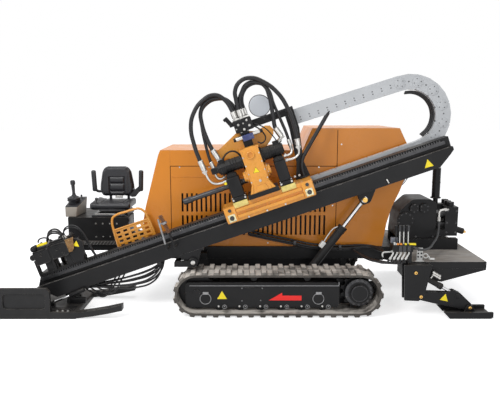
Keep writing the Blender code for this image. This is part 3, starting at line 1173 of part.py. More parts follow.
def make_station(root):
    (x0, x1), (z0, z1) = STATION_X, STATION_Z
    floor_z = z0 + STATION_FLOOR
    floor = [(x0, z0 + 0.12), (x0 + STATION_TOE, z0), (x1, z0), (x1, floor_z), (x0, floor_z)]
    upper = (floor_z - FUSE, z1)
    solids = [prism(floor, STATION_Y), box((x0, x1), (STATION_Y[0], STATION_STEP_Y), upper),
              box((x0, STATION_STEP_X), (STATION_STEP_Y - FUSE, STATION_Y[1]), upper)]
    base_top = z1 + SEAT_BASE_HEIGHT
    pedestal = [(SEAT_X - 0.26, z1 - FUSE), (SEAT_X + 0.22, z1 - FUSE), (SEAT_X + 0.22, z1 + 0.035),
                (SEAT_X + 0.14, base_top), (SEAT_X - 0.12, base_top), (SEAT_X - 0.26, z1 + 0.035)]
    solids.append(prism(pedestal, (SEAT_Y[0] + 0.06, SEAT_Y[1] - 0.04)))
    piece("operator_platform", "black", root, solids)

    half = SEAT_WIDTH / 2
    seat_low, seat_top = base_top + GAP, base_top + GAP + CUSHION_HEIGHT
    cushion = rounded([(SEAT_X - half, seat_low), (SEAT_X + half, seat_low), (SEAT_X + half, seat_top),
                       (SEAT_X - half, seat_top)], 0.04)
    piece("seat_cushion", "seat_vinyl", root, [prism(cushion, SEAT_Y)])

    back_low, back_top = seat_top + GAP, seat_top + GAP + BACK_HEIGHT
    back_y = (SEAT_Y[1] - 0.01 - BACK_THICKNESS, SEAT_Y[1] - 0.01)
    back = rounded([(SEAT_X - half + 0.05, back_low), (SEAT_X + half - 0.05, back_low),
                    (SEAT_X + half - 0.02, back_low + 0.12), (SEAT_X + half - 0.065, back_top),
                    (SEAT_X - half + 0.065, back_top), (SEAT_X - half + 0.02, back_low + 0.12)], 0.05, 3)
    solids = [prism(back, back_y)]
    arm_y = back_y[0] - 0.02
    for side in (-1, 1):
        arm_x = SEAT_X + side * (half + ARMREST_REACH)
        low, high = (back_low + height for height in ARMREST_Z)
        solids.append(rod((arm_x, arm_y, low), (arm_x, arm_y, high), ARMREST_RADIUS, PIN_SIDES))
        solids.append(rod((SEAT_X + side * (half - 0.08), back_y[0] + 0.02, low + 0.06),
                          (arm_x, arm_y, low + 0.06),
                          0.02, PIN_SIDES))
    piece("seat_back", "seat_vinyl", root, solids)

    foot = z1 + GAP
    console = prism([(CONSOLE_X[0], foot), (CONSOLE_X[1], foot), (CONSOLE_X[1], foot + CONSOLE_HEIGHTS[1]),
                     (CONSOLE_X[0], foot + CONSOLE_HEIGHTS[0])], CONSOLE_Y)
    stick_x, mouth = CONSOLE_X[0] + 0.08, foot + CONSOLE_HEIGHTS[0] - 0.01
    tip_x = stick_x - 0.01
    grip_low = foot + STICK_HEIGHT - 0.13
    piece("control_console", "console_grey", root, [
        console,
        rod((stick_x, STICK_Y, mouth), (stick_x, STICK_Y, mouth + 0.15), 0.06, BAR_SIDES, 0.025),
        rod((stick_x, STICK_Y, mouth), (tip_x, STICK_Y, grip_low + 0.05), STICK_RADIUS, PIN_SIDES),
        rod((tip_x, STICK_Y, grip_low), (tip_x, STICK_Y, foot + STICK_HEIGHT), STICK_RADIUS + 0.011,
            PIN_SIDES)])


# Rear deck, valve bank and mud pump

def make_rear_deck(root):
    """Deck plate box with a pin box and a skirt over each outrigger."""
    deck_low, deck_top = REAR_DECK_Z
    low_x, low_z = OUTRIGGER_PIN
    under = deck_top - FUSE
    solids = [box((CHASSIS_REAR_X + GAP, DECK_REAR_X), around(0, REAR_DECK_HALF), REAR_DECK_Z)]
    cheek = [(low_x - 0.23, under), (low_x - 0.21, low_z - 0.05), (low_x - 0.03, low_z - 0.06),
             (low_x + 0.04, low_z - 0.01), (low_x + 0.13, under)]
    skirt = [(low_x + 0.08, under), (low_x + 0.08, SKIRT_Z + 0.04), (low_x + 0.30, SKIRT_Z),
             (DECK_REAR_X, deck_low - 0.02), (DECK_REAR_X, under)]
    inner, outer, thick = OUTRIGGER_Y - LEG_HALF, OUTRIGGER_Y + LEG_HALF, 0.027
    for side in (-1, 1):
        solids.append(prism(cheek, (side * (inner - thick), side * (inner - 0.001))))
        solids.append(prism(cheek, (side * (outer + 0.001), side * (outer + thick))))
        solids.append(box((low_x - 0.16, low_x + 0.12),
                          (side * (REAR_DECK_HALF - 0.05), side * (outer + FUSE)),
                          (deck_top - 0.045, under)))
        solids.append(prism(skirt, (side * (inner - 0.046), side * (inner - 0.021))))
        for (pin_x, pin_z), radius in ((OUTRIGGER_PIN, OUTRIGGER_PIN_RADIUS),
                                       (OUTRIGGER_TOP_PIN, LEG_CYL_PIN_RADIUS)):
            solids.append(cross_rod(pin_x, pin_z, (side * (inner - thick), side * (outer + thick + FUSE)),
                                    radius, BORE_SIDES))
        solids.append(box(HANGER_X, (side * (REAR_DECK_HALF - 0.05), side * 0.50), (deck_low + FUSE, 0.45)))
    piece("rear_deck", "black", root, solids)


def make_valve_bank(root):
    lever_y = (VALVE_Y[0] + VALVE_Y[1]) / 2 - 0.025
    solids = [box(VALVE_POST_X, (VALVE_Y[0] + 0.03, VALVE_Y[1] - 0.02),
                  (REAR_DECK_Z[1] + GAP, VALVE_Z[0] + FUSE)),
              box(VALVE_X, VALVE_Y, VALVE_Z)]
    for x in LEVER_XS:
        solids.append(rod((x, lever_y, VALVE_Z[1] - FUSE), (x - 0.01, lever_y, LEVER_TOP_Z - 0.03), 0.008,
                          6))
        solids.append(rod((x - 0.008, lever_y, LEVER_TOP_Z - 0.08), (x - 0.012, lever_y, LEVER_TOP_Z),
                          0.017, 8))
    piece("valve_bank", "black", root, solids)


def make_pump(root):
    """Base beams, crankcase with three round covers, and the fluid end it drives by plungers."""
    foot, top = REAR_DECK_Z[1] + GAP, PUMP_BASE_TOP_Z
    solids = [box(PUMP_BASE_X, around(side * PUMP_HALF, PUMP_BEAM / 2), (foot, top)) for side in (-1, 1)]
    solids += [box((x, x + PUMP_BEAM), around(0, PUMP_HALF), (foot, top - 0.02))
               for x in (PUMP_BASE_X[0] + 0.05, PUMP_BASE_X[1] - 0.20)]
    piece("pump_base", "black", root, solids)

    seat = top + GAP
    case = rounded([(CASE_X[0], seat), (CASE_X[1], seat), (CASE_X[1], CASE_TOP_Z - 0.06),
                    (CASE_X[1] - 0.08, CASE_TOP_Z),
                    (CASE_X[0] + 0.22, CASE_TOP_Z), (CASE_X[0] + 0.04, CASE_TOP_Z - 0.17)], 0.04)
    solids = [prism(case, around(0, PUMP_HALF))]
    for x, z, radius in CASE_BOSSES:
        solids.append(cross_rod(x, z, (-PUMP_HALF - CASE_BOSS_DEPTH, -PUMP_HALF + FUSE), radius, BAR_SIDES))
    piece("pump_crankcase", "black", root, solids)

    face, (back, rear) = CASE_X[1] + GAP, FLUID_X
    middle_z = sum(FLUID_Z) / 2
    solids = [box(FLUID_X, around(0, FLUID_HALF), FLUID_Z),
              box((face, back + FUSE), around(0, FLUID_HALF), (FLUID_Z[0], FLUID_Z[0] + 0.09))]
    for y in PLUNGER_YS:
        solids.append(rod((face, y, middle_z), (back + FUSE, y, middle_z), PLUNGER_RADIUS, PIN_SIDES))
        solids.append(rod(((back + rear) / 2, y, FLUID_Z[1] - FUSE),
                          ((back + rear) / 2, y, FLUID_Z[1] + 0.06),
                          VALVE_CAP_RADIUS, BAR_SIDES))
    neck_top = DAMPER_Z[0] + FUSE
    solids += [box((face + 0.02, back + FUSE), around(0, 0.05), (FLUID_Z[1] - 0.07, FLUID_Z[1] + 0.02)),
               rod((DAMPER_X, 0, FLUID_Z[1]), (DAMPER_X, 0, neck_top), DAMPER_RADIUS * 0.6, BAR_SIDES),
               rod((DAMPER_X, 0, DAMPER_Z[0]), (DAMPER_X, 0, DAMPER_Z[1]), DAMPER_RADIUS, BAR_SIDES),
               rod((rear - 0.08, -0.12, FLUID_Z[0] + 0.11), (REAR_X - 0.06, -0.12, FLUID_Z[0] + 0.05),
                   OUTLET_RADIUS, BAR_SIDES),
               cross_rod((back + rear) / 2, FLUID_Z[0] + 0.12, (FLUID_HALF - FUSE, SUCTION_Y),
                         SUCTION_RADIUS, BAR_SIDES)]
    piece("pump_fluid_end", "black", root, solids)


def make_outriggers(axes):
    """Each leg is pinned in its box, stands on a foot and is driven by a short cylinder."""
    low_x, low_z = OUTRIGGER_PIN
    end_x, end_z = FOOT_PIN[0] - low_x, FOOT_PIN[1] - low_z
    lug_x, lug_z = LEG_LUG[0] - low_x, LEG_LUG[1] - low_z
    reach = math.dist(OUTRIGGER_TOP_PIN, LEG_LUG)
    sole = -FOOT_PIN[1]
    foot_x = (FOOT_FRONT_X - FOOT_PIN[0], REAR_X - FOOT_PIN[0])
    for place, _ in SIDES:
        leg_axis, barrel_axis, rod_axis, foot_axis = axes[place]
        arm = [(-0.05, -0.02), (0.0, -0.055), (0.173, -0.097), (0.368, -0.135), (end_x - 0.12, end_z - 0.02),
               (end_x, end_z - 0.045), (end_x + 0.045, end_z), (end_x + 0.02, end_z + 0.05),
               (lug_x + 0.045, lug_z + 0.035), (lug_x - 0.04, lug_z + 0.075), (lug_x - 0.08, lug_z + 0.072),
               (lug_x - 0.12, lug_z + 0.045), (0.05, 0.055), (-0.03, 0.045)]
        solids = [prism(arm, around(0, LEG_HALF))]
        cuts = [cross_rod(x, z, around(0, 0.1), radius, BORE_SIDES) for x, z, radius in (
            (0, 0, OUTRIGGER_PIN_RADIUS + PIN_GAP), (lug_x, lug_z, LEG_CYL_PIN_RADIUS + LEG_DRIFT),
            (end_x, end_z, OUTRIGGER_PIN_RADIUS + PIN_GAP))]
        cuts.append(box((lug_x - LEG_SLOT_LENGTH, lug_x + 0.05), around(0, LEG_FORK_HALF),
                        (lug_z - 0.05, lug_z + 0.12)))
        piece(f"outrigger_leg_{place}", "black", leg_axis, solids, cuts)

        cylinder_pair((f"outrigger_barrel_{place}", f"outrigger_rod_{place}"), barrel_axis, rod_axis,
                      LEG_CYL_RADII,
                      (LEG_BARREL_LENGTH, LEG_ROD_INSIDE, reach), LEG_CYL_EYE_HALF, LEG_CYL_PIN_RADIUS,
                      LEG_HALF + 0.006, PIN_SIDES)

        pad = [(foot_x[0], sole + 0.02), (foot_x[0] + 0.03, sole), (foot_x[1] - 0.03, sole),
               (foot_x[1], sole + 0.02),
               (foot_x[1], sole + FOOT_PLATE), (foot_x[0], sole + FOOT_PLATE)]
        ear = rounded([(-0.08, sole + FOOT_PLATE - FUSE), (0.08, sole + FOOT_PLATE - FUSE), (0.04, 0.035),
                       (-0.04, 0.035)], 0.03, 2)
        ear_start = LEG_HALF + 0.002
        rim_top = sole + FOOT_RIM[1]
        rim = [(foot_x[0] - FOOT_TOE, rim_top), (foot_x[0], sole + 0.004), (foot_x[1] - 0.03, sole + 0.004),
               (foot_x[1], sole + 0.02), (foot_x[1], rim_top)]
        solids = [prism(pad, around(0, FOOT_HALF - FUSE))]
        for sign in (-1, 1):
            solids.append(prism(rim, (sign * FOOT_HALF, sign * (FOOT_HALF - FOOT_RIM[0]))))
            solids.append(prism(ear, (sign * ear_start, sign * (ear_start + FOOT_EAR))))
        solids.append(cross_rod(0, 0, around(0, ear_start + FOOT_EAR + 0.008), OUTRIGGER_PIN_RADIUS,
                                BORE_SIDES))
        piece(f"outrigger_foot_{place}", "black", foot_axis, solids)


def main():
    clear_scene()
    root = frame_empty("machine", None, (-CENTRE_X, 0, 0))
    make_undercarriage(root)
    make_chassis(root)
    hinge_y = HOOD_FAR_Y + HINGE_OFFSET
    door_axes = {
        "front": frame_empty("door_front_axis", root, (HOOD_FRONT_SEAM_X + HINGE_SEAM_OFFSET, hinge_y, 0)),
        "rear": frame_empty("door_rear_axis", root, (HOOD_REAR_SEAM_X - HINGE_SEAM_OFFSET, hinge_y, 0))}
    make_hood(root, door_axes)
    make_station(root)
    make_rear_deck(root)
    make_valve_bank(root)
    make_pump(root)

    mast = frame_empty("mast_axis", root, (PIVOT_X, 0, PIVOT_Z), -MAST_TILT)
    for make in (make_beam, make_saddle, make_vises, make_guard, make_tray, make_mast_hoses):
        make(mast)
    head = frame_empty("head_axis", mast, (HEAD_U, 0, 0))
    for make in (make_carriage, make_gearbox, make_motors, make_manifold, make_head_hoses,
                 make_chain_bracket,
                 make_chain_upper):
        make(head)
    make_spindle(frame_empty("spindle_axis", head, (0, MAST_Y, DRILL_AXIS_W)))
    make_chain_loop(frame_empty("chain_axis", mast, (CHAIN_BEND_U, 0, 0)))
    make_anchor(frame_empty("anchor_axis", root, (ANCHOR_PIN_X, 0, ANCHOR_PIN_Z)))

    eye_x, eye_z = from_mast(LIFT_EYE_U, LIFT_EYE_W)
    lift_angle = math.atan2(eye_z - LIFT_BASE_Z, eye_x - LIFT_BASE_X)
    lift_reach = math.dist((eye_x, eye_z), (LIFT_BASE_X, LIFT_BASE_Z))
    lift = frame_empty("lift_axis", root, (LIFT_BASE_X, LIFT_Y, LIFT_BASE_Z), -lift_angle)
    cylinder_pair(("lift_barrel", "lift_rod"), lift, frame_empty("lift_rod_axis", lift),
                  (LIFT_BARREL_RADIUS, LIFT_ROD_RADIUS), (LIFT_BARREL_LENGTH, LIFT_ROD_INSIDE, lift_reach),
                  LIFT_EYE_HALF, LIFT_PIN_RADIUS, LIFT_EYE_HALF + LIFT_CHEEK + 0.004, BAR_SIDES)

    leg_angle = math.atan2(LEG_LUG[1] - OUTRIGGER_TOP_PIN[1], LEG_LUG[0] - OUTRIGGER_TOP_PIN[0])
    axes = {}
    for place, side in SIDES:
        y = side * OUTRIGGER_Y
        leg = frame_empty(f"leg_axis_{place}", root, (OUTRIGGER_PIN[0], y, OUTRIGGER_PIN[1]))
        barrel = frame_empty(f"leg_barrel_axis_{place}", root,
                             (OUTRIGGER_TOP_PIN[0], y, OUTRIGGER_TOP_PIN[1]),
                             -leg_angle)
        foot = frame_empty(f"foot_axis_{place}", leg,
                           (FOOT_PIN[0] - OUTRIGGER_PIN[0], 0, FOOT_PIN[1] - OUTRIGGER_PIN[1]))
        axes[place] = (leg, barrel, frame_empty(f"leg_rod_axis_{place}", barrel), foot)
    make_outriggers(axes)
    bpy.context.view_layer.update()


main()
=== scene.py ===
import math

import bmesh
import bpy
from mathutils import Matrix, Vector


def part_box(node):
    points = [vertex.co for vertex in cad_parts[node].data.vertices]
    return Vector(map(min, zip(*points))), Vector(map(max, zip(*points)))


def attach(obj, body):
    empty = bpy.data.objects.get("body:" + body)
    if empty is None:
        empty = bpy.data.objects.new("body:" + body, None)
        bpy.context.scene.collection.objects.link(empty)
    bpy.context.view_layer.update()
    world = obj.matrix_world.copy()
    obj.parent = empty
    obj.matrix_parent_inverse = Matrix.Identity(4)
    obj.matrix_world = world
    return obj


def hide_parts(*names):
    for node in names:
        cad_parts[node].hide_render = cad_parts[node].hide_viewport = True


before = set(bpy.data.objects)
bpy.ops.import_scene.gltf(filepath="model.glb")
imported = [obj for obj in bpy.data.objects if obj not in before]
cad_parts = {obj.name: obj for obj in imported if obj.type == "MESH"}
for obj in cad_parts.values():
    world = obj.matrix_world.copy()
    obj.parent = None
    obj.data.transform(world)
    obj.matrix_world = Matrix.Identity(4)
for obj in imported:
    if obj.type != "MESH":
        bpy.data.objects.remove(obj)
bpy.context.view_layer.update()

# Camera and studio. The machine stands on a plain white floor and is seen from its near
# side, a little above the hood, with soft lamps over the front and both ends.
camera = bpy.data.objects.new("camera", bpy.data.cameras.new("camera"))
CAMERA_DOWN = 0.16  # radians below level
camera.location = (0.08, -8.125, 2.68)
camera.rotation_euler = (math.pi / 2 - CAMERA_DOWN, 0, 0)
camera.data.lens = 40.68
camera.data.sensor_width = 36
bpy.context.scene.collection.objects.link(camera)
bpy.context.scene.camera = camera
bpy.context.scene.view_settings.view_transform = "Standard"


def add(tree, kind, inputs=(), **settings):
    """A shader node; each input takes a value or another node's output."""
    made = tree.nodes.new(kind)
    for key, value in settings.items():
        setattr(made, key, value)
    for key, value in dict(inputs).items():
        if isinstance(value, bpy.types.NodeSocket):
            tree.links.new(value, made.inputs[key])
        else:
            made.inputs[key].default_value = value
    return made


def mixed(tree, share, first, second):
    """A colour that goes from first to second with share."""
    colours = [(*c, 1) if isinstance(c, tuple) else c for c in (first, second)]
    return add(tree, "ShaderNodeMix", {0: share, 6: colours[0], 7: colours[1]},
               data_type="RGBA").outputs[2]


def spread(tree, value, low, high, start=0.0, end=1.0):
    """A value between start and end brought to the range from low to high."""
    return add(tree, "ShaderNodeMapRange", {"Value": value, "From Min": start, "From Max": end,
                                            "To Min": low, "To Max": high}).outputs["Result"]


def sums(tree, operation, first, second, clamp=False):
    """One operation on two values; clamp keeps the result between 0 and 1."""
    return add(tree, "ShaderNodeMath", {0: first, 1: second}, operation=operation,
               use_clamp=clamp).outputs[0]


def seen_directly(tree):
    """1 where the camera, a mirror or a pane looks, 0 for the light that reaches the object."""
    path = add(tree, "ShaderNodeLightPath").outputs
    first = sums(tree, "ADD", path["Is Camera Ray"], path["Is Glossy Ray"])
    return sums(tree, "ADD", first, path["Is Transmission Ray"], True)


SKY_LIGHT, WHITE = (0.44, 0.445, 0.46), (1.0, 1.0, 1.0)
world = bpy.data.worlds.new("studio")
world.use_nodes = True
sky = world.node_tree
sky.nodes["Background"].inputs["Strength"].default_value = 1.0
sky.links.new(mixed(sky, seen_directly(sky), SKY_LIGHT, WHITE),
              sky.nodes["Background"].inputs["Color"])
bpy.context.scene.world = world

for label, place, aim, size, watts in (
        ("key lamp", (-5.0, -6.5, 7.5), (-0.5, 0, 1.0), 4.0, 460),
        ("front lamp", (3.0, -8.0, 3.0), (0, 0, 1.0), 5.0, 110),
        ("top lamp", (0.0, 1.5, 8.0), (0, 0, 1.0), 6.0, 260)):
    lamp = bpy.data.objects.new(label, bpy.data.lights.new(label, "AREA"))
    lamp.data.shape = "DISK"
    lamp.data.size = size
    lamp.data.energy = watts
    lamp.location = place
    lamp.rotation_euler = (Vector(aim) - Vector(place)).to_track_quat("-Z", "Y").to_euler()
    bpy.context.scene.collection.objects.link(lamp)

FLOOR_REACH, FLOOR_DROP, FLOOR_GLOW = 60, 0.002, 0.64
sheet = bmesh.new()
bmesh.ops.create_grid(sheet, x_segments=1, y_segments=1, size=FLOOR_REACH)
bmesh.ops.translate(sheet, verts=sheet.verts, vec=(0, 0, -FLOOR_DROP))
floor_mesh = bpy.data.meshes.new("floor")
sheet.to_mesh(floor_mesh)
sheet.free()
floor = bpy.data.objects.new("floor", floor_mesh)
bpy.context.scene.collection.objects.link(floor)
floor_white = bpy.data.materials.new("floor white")
floor_white.use_nodes = True
tree = floor_white.node_tree
shader = tree.nodes["Principled BSDF"]
shader.inputs["Base Color"].default_value = (0.86, 0.86, 0.86, 1)
shader.inputs["Roughness"].default_value = 0.9
shader.inputs["Specular IOR Level"].default_value = 0.1
glow = sums(tree, "MULTIPLY", seen_directly(tree), FLOOR_GLOW)
tree.links.new(mixed(tree, glow, (0, 0, 0), WHITE), shader.inputs["Emission Color"])
shader.inputs["Emission Strength"].default_value = 1.0
floor_mesh.materials.append(floor_white)

# Rubber tracks. Each is an endless rubber belt with moulded lugs, grey with dried dust on
# the lugs and edges and darker between them; the belt itself is the CAD node.


def group(name, inputs, outputs):
    """An empty shader group with value inputs and outputs."""
    made = bpy.data.node_groups.new(name, "ShaderNodeTree")
    for label, value in inputs.items():
        made.interface.new_socket(label, in_out="INPUT",
                                  socket_type="NodeSocketFloat").default_value = value
    for label in outputs:
        made.interface.new_socket(label, in_out="OUTPUT", socket_type="NodeSocketFloat")
    return made, made.nodes.new("NodeGroupInput"), made.nodes.new("NodeGroupOutput")


def noise(tree, scale, detail=4.0, rough=0.55, stretch=None):
    """A value that changes over the piece, in object coordinates."""
    where = add(tree, "ShaderNodeTexCoord").outputs["Object"]
    if stretch:
        where = add(tree, "ShaderNodeMapping",
                    {"Vector": where, "Scale": stretch}).outputs["Vector"]
    return add(tree, "ShaderNodeTexNoise", {"Vector": where, "Scale": scale, "Detail": detail,
                                            "Roughness": rough}).outputs["Fac"]


WEAR_GAIN = 6.0  # how soon a rounded edge counts as fully worn
edge_wear, given, result = group("edge wear", {"Radius": 0.004, "Strength": 1.0}, ["Worn"])
round_edge = add(edge_wear, "ShaderNodeBevel", {"Radius": given.outputs["Radius"]}, samples=3)
flat = add(edge_wear, "ShaderNodeNewGeometry").outputs["Normal"]
same = add(edge_wear, "ShaderNodeVectorMath", {0: round_edge.outputs["Normal"], 1: flat},
           operation="DOT_PRODUCT").outputs["Value"]
turned_away = sums(edge_wear, "SUBTRACT", 1.0, same)
patchy = spread(edge_wear, noise(edge_wear, 9.0, 5.0), 0.0, 1.0, 0.42, 0.62)
strong = sums(edge_wear, "MULTIPLY", given.outputs["Strength"], patchy)
edge_wear.links.new(sums(edge_wear, "MULTIPLY", sums(edge_wear, "MULTIPLY", turned_away, WEAR_GAIN),
                         strong, True), result.inputs["Worn"])

settled_dust, given, result = group("settled dust", {"Amount": 0.5, "Scale": 3.0}, ["Dust"])
up = add(settled_dust, "ShaderNodeSeparateXYZ",
         {"Vector": add(settled_dust, "ShaderNodeNewGeometry").outputs["Normal"]}).outputs["Z"]
facing_up = spread(settled_dust, up, 0.05, 1.0, 0.1, 0.9)
where = add(settled_dust, "ShaderNodeTexCoord").outputs["Object"]
cloud = add(settled_dust, "ShaderNodeTexNoise", {"Vector": where, "Scale": given.outputs["Scale"],
                                                 "Detail": 6.0, "Roughness": 0.6}).outputs["Fac"]
thick = sums(settled_dust, "MULTIPLY", facing_up, spread(settled_dust, cloud, 0.0, 1.0, 0.35, 0.7))
settled_dust.links.new(sums(settled_dust, "MULTIPLY", thick, given.outputs["Amount"], True),
                       result.inputs["Dust"])


def finish(name, colour, rough, metal=0.0, tone=0.12, tone_scale=2.0, dust=(0.20, 0.17, 0.14),
           dust_amount=0.0, bare=(0.35, 0.33, 0.31), wear=0.0, edge=0.004, grain=260.0, bump=0.06,
           coat=0.0, stretch=None, shine=0.5):
    """A material with patchy tone, settled dust, worn edges, fine grain and softened edges."""
    made = bpy.data.materials.new(name)
    made.use_nodes = True
    tree = made.node_tree
    shader = tree.nodes["Principled BSDF"]
    patch = noise(tree, tone_scale, 5.0, 0.6, stretch)
    low = tuple(c * (1 - tone) for c in colour)
    high = tuple(min(1.0, c * (1 + tone)) for c in colour)
    base = mixed(tree, spread(tree, patch, 0, 1, 0.3, 0.7), low, high)
    gloss = spread(tree, noise(tree, tone_scale * 6, 4.0), rough - 0.05, rough + 0.08, 0.3, 0.7)
    if dust_amount:
        cover = add(tree, "ShaderNodeGroup", node_tree=settled_dust)
        cover.inputs["Amount"].default_value = dust_amount
        base = mixed(tree, cover.outputs["Dust"], base, dust)
        gloss = sums(tree, "ADD", gloss, sums(tree, "MULTIPLY", cover.outputs["Dust"], 0.3), True)
    if wear:
        worn = add(tree, "ShaderNodeGroup", node_tree=edge_wear)
        worn.inputs["Radius"].default_value = edge
        worn.inputs["Strength"].default_value = wear
        base = mixed(tree, worn.outputs["Worn"], base, bare)
    tree.links.new(base, shader.inputs["Base Color"])
    tree.links.new(gloss, shader.inputs["Roughness"])
    shader.inputs["Metallic"].default_value = metal
    shader.inputs["Coat Weight"].default_value = coat
    shader.inputs["Coat Roughness"].default_value = 0.12
    shader.inputs["Specular IOR Level"].default_value = shine
    soft = add(tree, "ShaderNodeBevel", {"Radius": edge}, samples=3).outputs["Normal"]
    raised = add(tree, "ShaderNodeBump", {"Height": noise(tree, grain, 3.0), "Strength": bump,
                                          "Distance": 0.002, "Normal": soft})
    tree.links.new(raised.outputs["Normal"], shader.inputs["Normal"])
    return made


def refinish(material, *nodes):
    """Gives CAD nodes that keep their shape their material."""
    for name in nodes:
        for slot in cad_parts[name].material_slots:
            slot.material = material


rubber = finish("dusty rubber", (0.068, 0.062, 0.056), 0.85, tone=0.35, tone_scale=14.0,
                dust=(0.66, 0.61, 0.55), dust_amount=2.2, bare=(0.21, 0.19, 0.17), wear=1.2,
                edge=0.010, grain=90.0, bump=0.35, shine=0.15)
refinish(rubber, "track_near", "track_far")

# Track frames and final drives. Welded box beams painted satin black, with roller bolts,
# lashing rings and a bolted ring round each final drive; plain signs are stuck on. Thin
# pale strips along each frame's top edge and up its rear corner are a painted highlight.
GROUND = Matrix.Translation((0.08, 0, 0))
TRACK_FACE_Y = 1.02
BOSS_XS, BOSS_Z = (-0.583, 0.896), 0.222
ROLLER_START_X, ROLLER_PITCH, HOOK_SHIFT = -0.412, 0.2725, 0.078
DRIVE_X, DRIVE_Z, COVER_BOLTS = 1.431, 0.30, 16
black = finish("satin black paint", (0.0115, 0.0115, 0.0123), 0.38, tone=0.16, tone_scale=1.6,
               dust_amount=0.22, wear=0.45, edge=0.004, grain=320.0, bump=0.05, shine=0.17)
refinish(black, "track_frame_near", "track_frame_far", "sprocket_near", "sprocket_far")


def rounded(shell, edges, size, segments=2):
    """Rounds some edges of a shell."""
    bmesh.ops.bevel(shell, geom=edges, offset=size, offset_type="OFFSET", segments=segments,
                    profile=0.5, affect="EDGES", material=-1)


def aimed(way, side="Y"):
    """The turn that points the Z axis along a direction."""
    return Vector(way).to_track_quat("Z", side).to_matrix().to_4x4()


def block(x, y, z, edge=0.004, segments=2):
    """A solid box with rounded edges."""
    shell = bmesh.new()
    bmesh.ops.create_cube(shell, size=1)
    ranges = [sorted(pair) for pair in (x, y, z)]
    bmesh.ops.scale(shell, vec=[high - low for low, high in ranges], verts=shell.verts)
    bmesh.ops.translate(shell, vec=[(high + low) / 2 for low, high in ranges], verts=shell.verts)
    if edge:
        rounded(shell, shell.edges[:], edge, segments)
    return shell


def bar(start, end, radius, sides=20, tip=None, edge=0.0):
    """A round bar between two points, its end edges rounded; tip is its radius at the end."""
    a, b = Vector(start), Vector(end)
    shell = bmesh.new()
    bmesh.ops.create_cone(shell, cap_ends=True, segments=sides, radius1=radius,
                          radius2=radius if tip is None else tip, depth=(b - a).length,
                          matrix=Matrix.Translation((a + b) / 2) @ aimed(b - a))
    if edge:
        rims = [e for e in shell.edges if any(len(f.verts) == sides for f in e.link_faces)]
        rounded(shell, rims, edge)
    return shell


def plate(outline, y, edge=0.003):
    """A flat plate cut to a side-view outline, its edges rounded."""
    low, high = sorted(y)
    shell = bmesh.new()
    face = shell.faces.new([shell.verts.new((x, low, z)) for x, z in outline])
    grown = bmesh.ops.extrude_face_region(shell, geom=[face])
    bmesh.ops.translate(shell, verts=[v for v in grown["geom"]
                                      if isinstance(v, bmesh.types.BMVert)],
                        vec=(0, high - low, 0))
    bmesh.ops.recalc_face_normals(shell, faces=shell.faces)
    if edge:
        rounded(shell, shell.edges[:], edge, 1)
    return shell


def ring(centre, axis, radius, thick, steps=28):
    """A round ring spun about an axis through its centre."""
    shell = bmesh.new()
    bmesh.ops.create_circle(shell, segments=10, radius=thick,
                            matrix=Matrix.Translation((radius, 0, 0))
                            @ Matrix.Rotation(math.pi / 2, 4, "X"))
    bmesh.ops.spin(shell, geom=shell.verts[:] + shell.edges[:], cent=(0, 0, 0), axis=(0, 0, 1),
                   angle=2 * math.pi, steps=steps, use_merge=True)
    bmesh.ops.recalc_face_normals(shell, faces=shell.faces)
    shell.transform(Matrix.Translation(centre) @ aimed(axis, "X"))
    return shell


def turned(at, way, profile, sides=28):
    """A lathe-turned form: pairs of radius and height spun about a line from at along way."""
    shell = bmesh.new()
    line = [shell.verts.new((radius, 0, height)) for radius, height in profile]
    edges = [shell.edges.new(pair) for pair in zip(line, line[1:])]
    bmesh.ops.spin(shell, geom=line + edges, cent=(0, 0, 0), axis=(0, 0, 1), angle=2 * math.pi,
                   steps=sides, use_merge=True)
    bmesh.ops.remove_doubles(shell, verts=shell.verts, dist=1e-5)
    bmesh.ops.recalc_face_normals(shell, faces=shell.faces)
    shell.transform(Matrix.Translation(at) @ aimed(way))
    return shell


def bolt(at, axis, size):
    """A hexagon head on a round washer; size is the head's radius."""
    at, way = Vector(at), Vector(axis).normalized()
    return [bar(at - way * size * 0.2, at + way * size * 0.25, size * 1.5, 14),
            bar(at, at + way * size * 0.95, size, 6, size * 0.93)]


SMOOTH_BELOW = math.radians(38)  # edges between faces at a larger angle stay sharp


def fitted(name, shells, material, body, where=GROUND):
    """One piece from closed shells, put in its place, riding on its body."""
    whole = bmesh.new()
    for shell in shells:
        part = bpy.data.meshes.new("shell")
        shell.to_mesh(part)
        shell.free()
        whole.from_mesh(part)
        bpy.data.meshes.remove(part)
    whole.transform(where)
    mesh = bpy.data.meshes.new(name)
    whole.to_mesh(mesh)
    whole.free()
    mesh.materials.append(material)
    mesh.shade_smooth()
    mesh.set_sharp_from_angle(angle=SMOOTH_BELOW)
    made = bpy.data.objects.new(name, mesh)
    bpy.context.scene.collection.objects.link(made)
    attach(made, body)
    return made


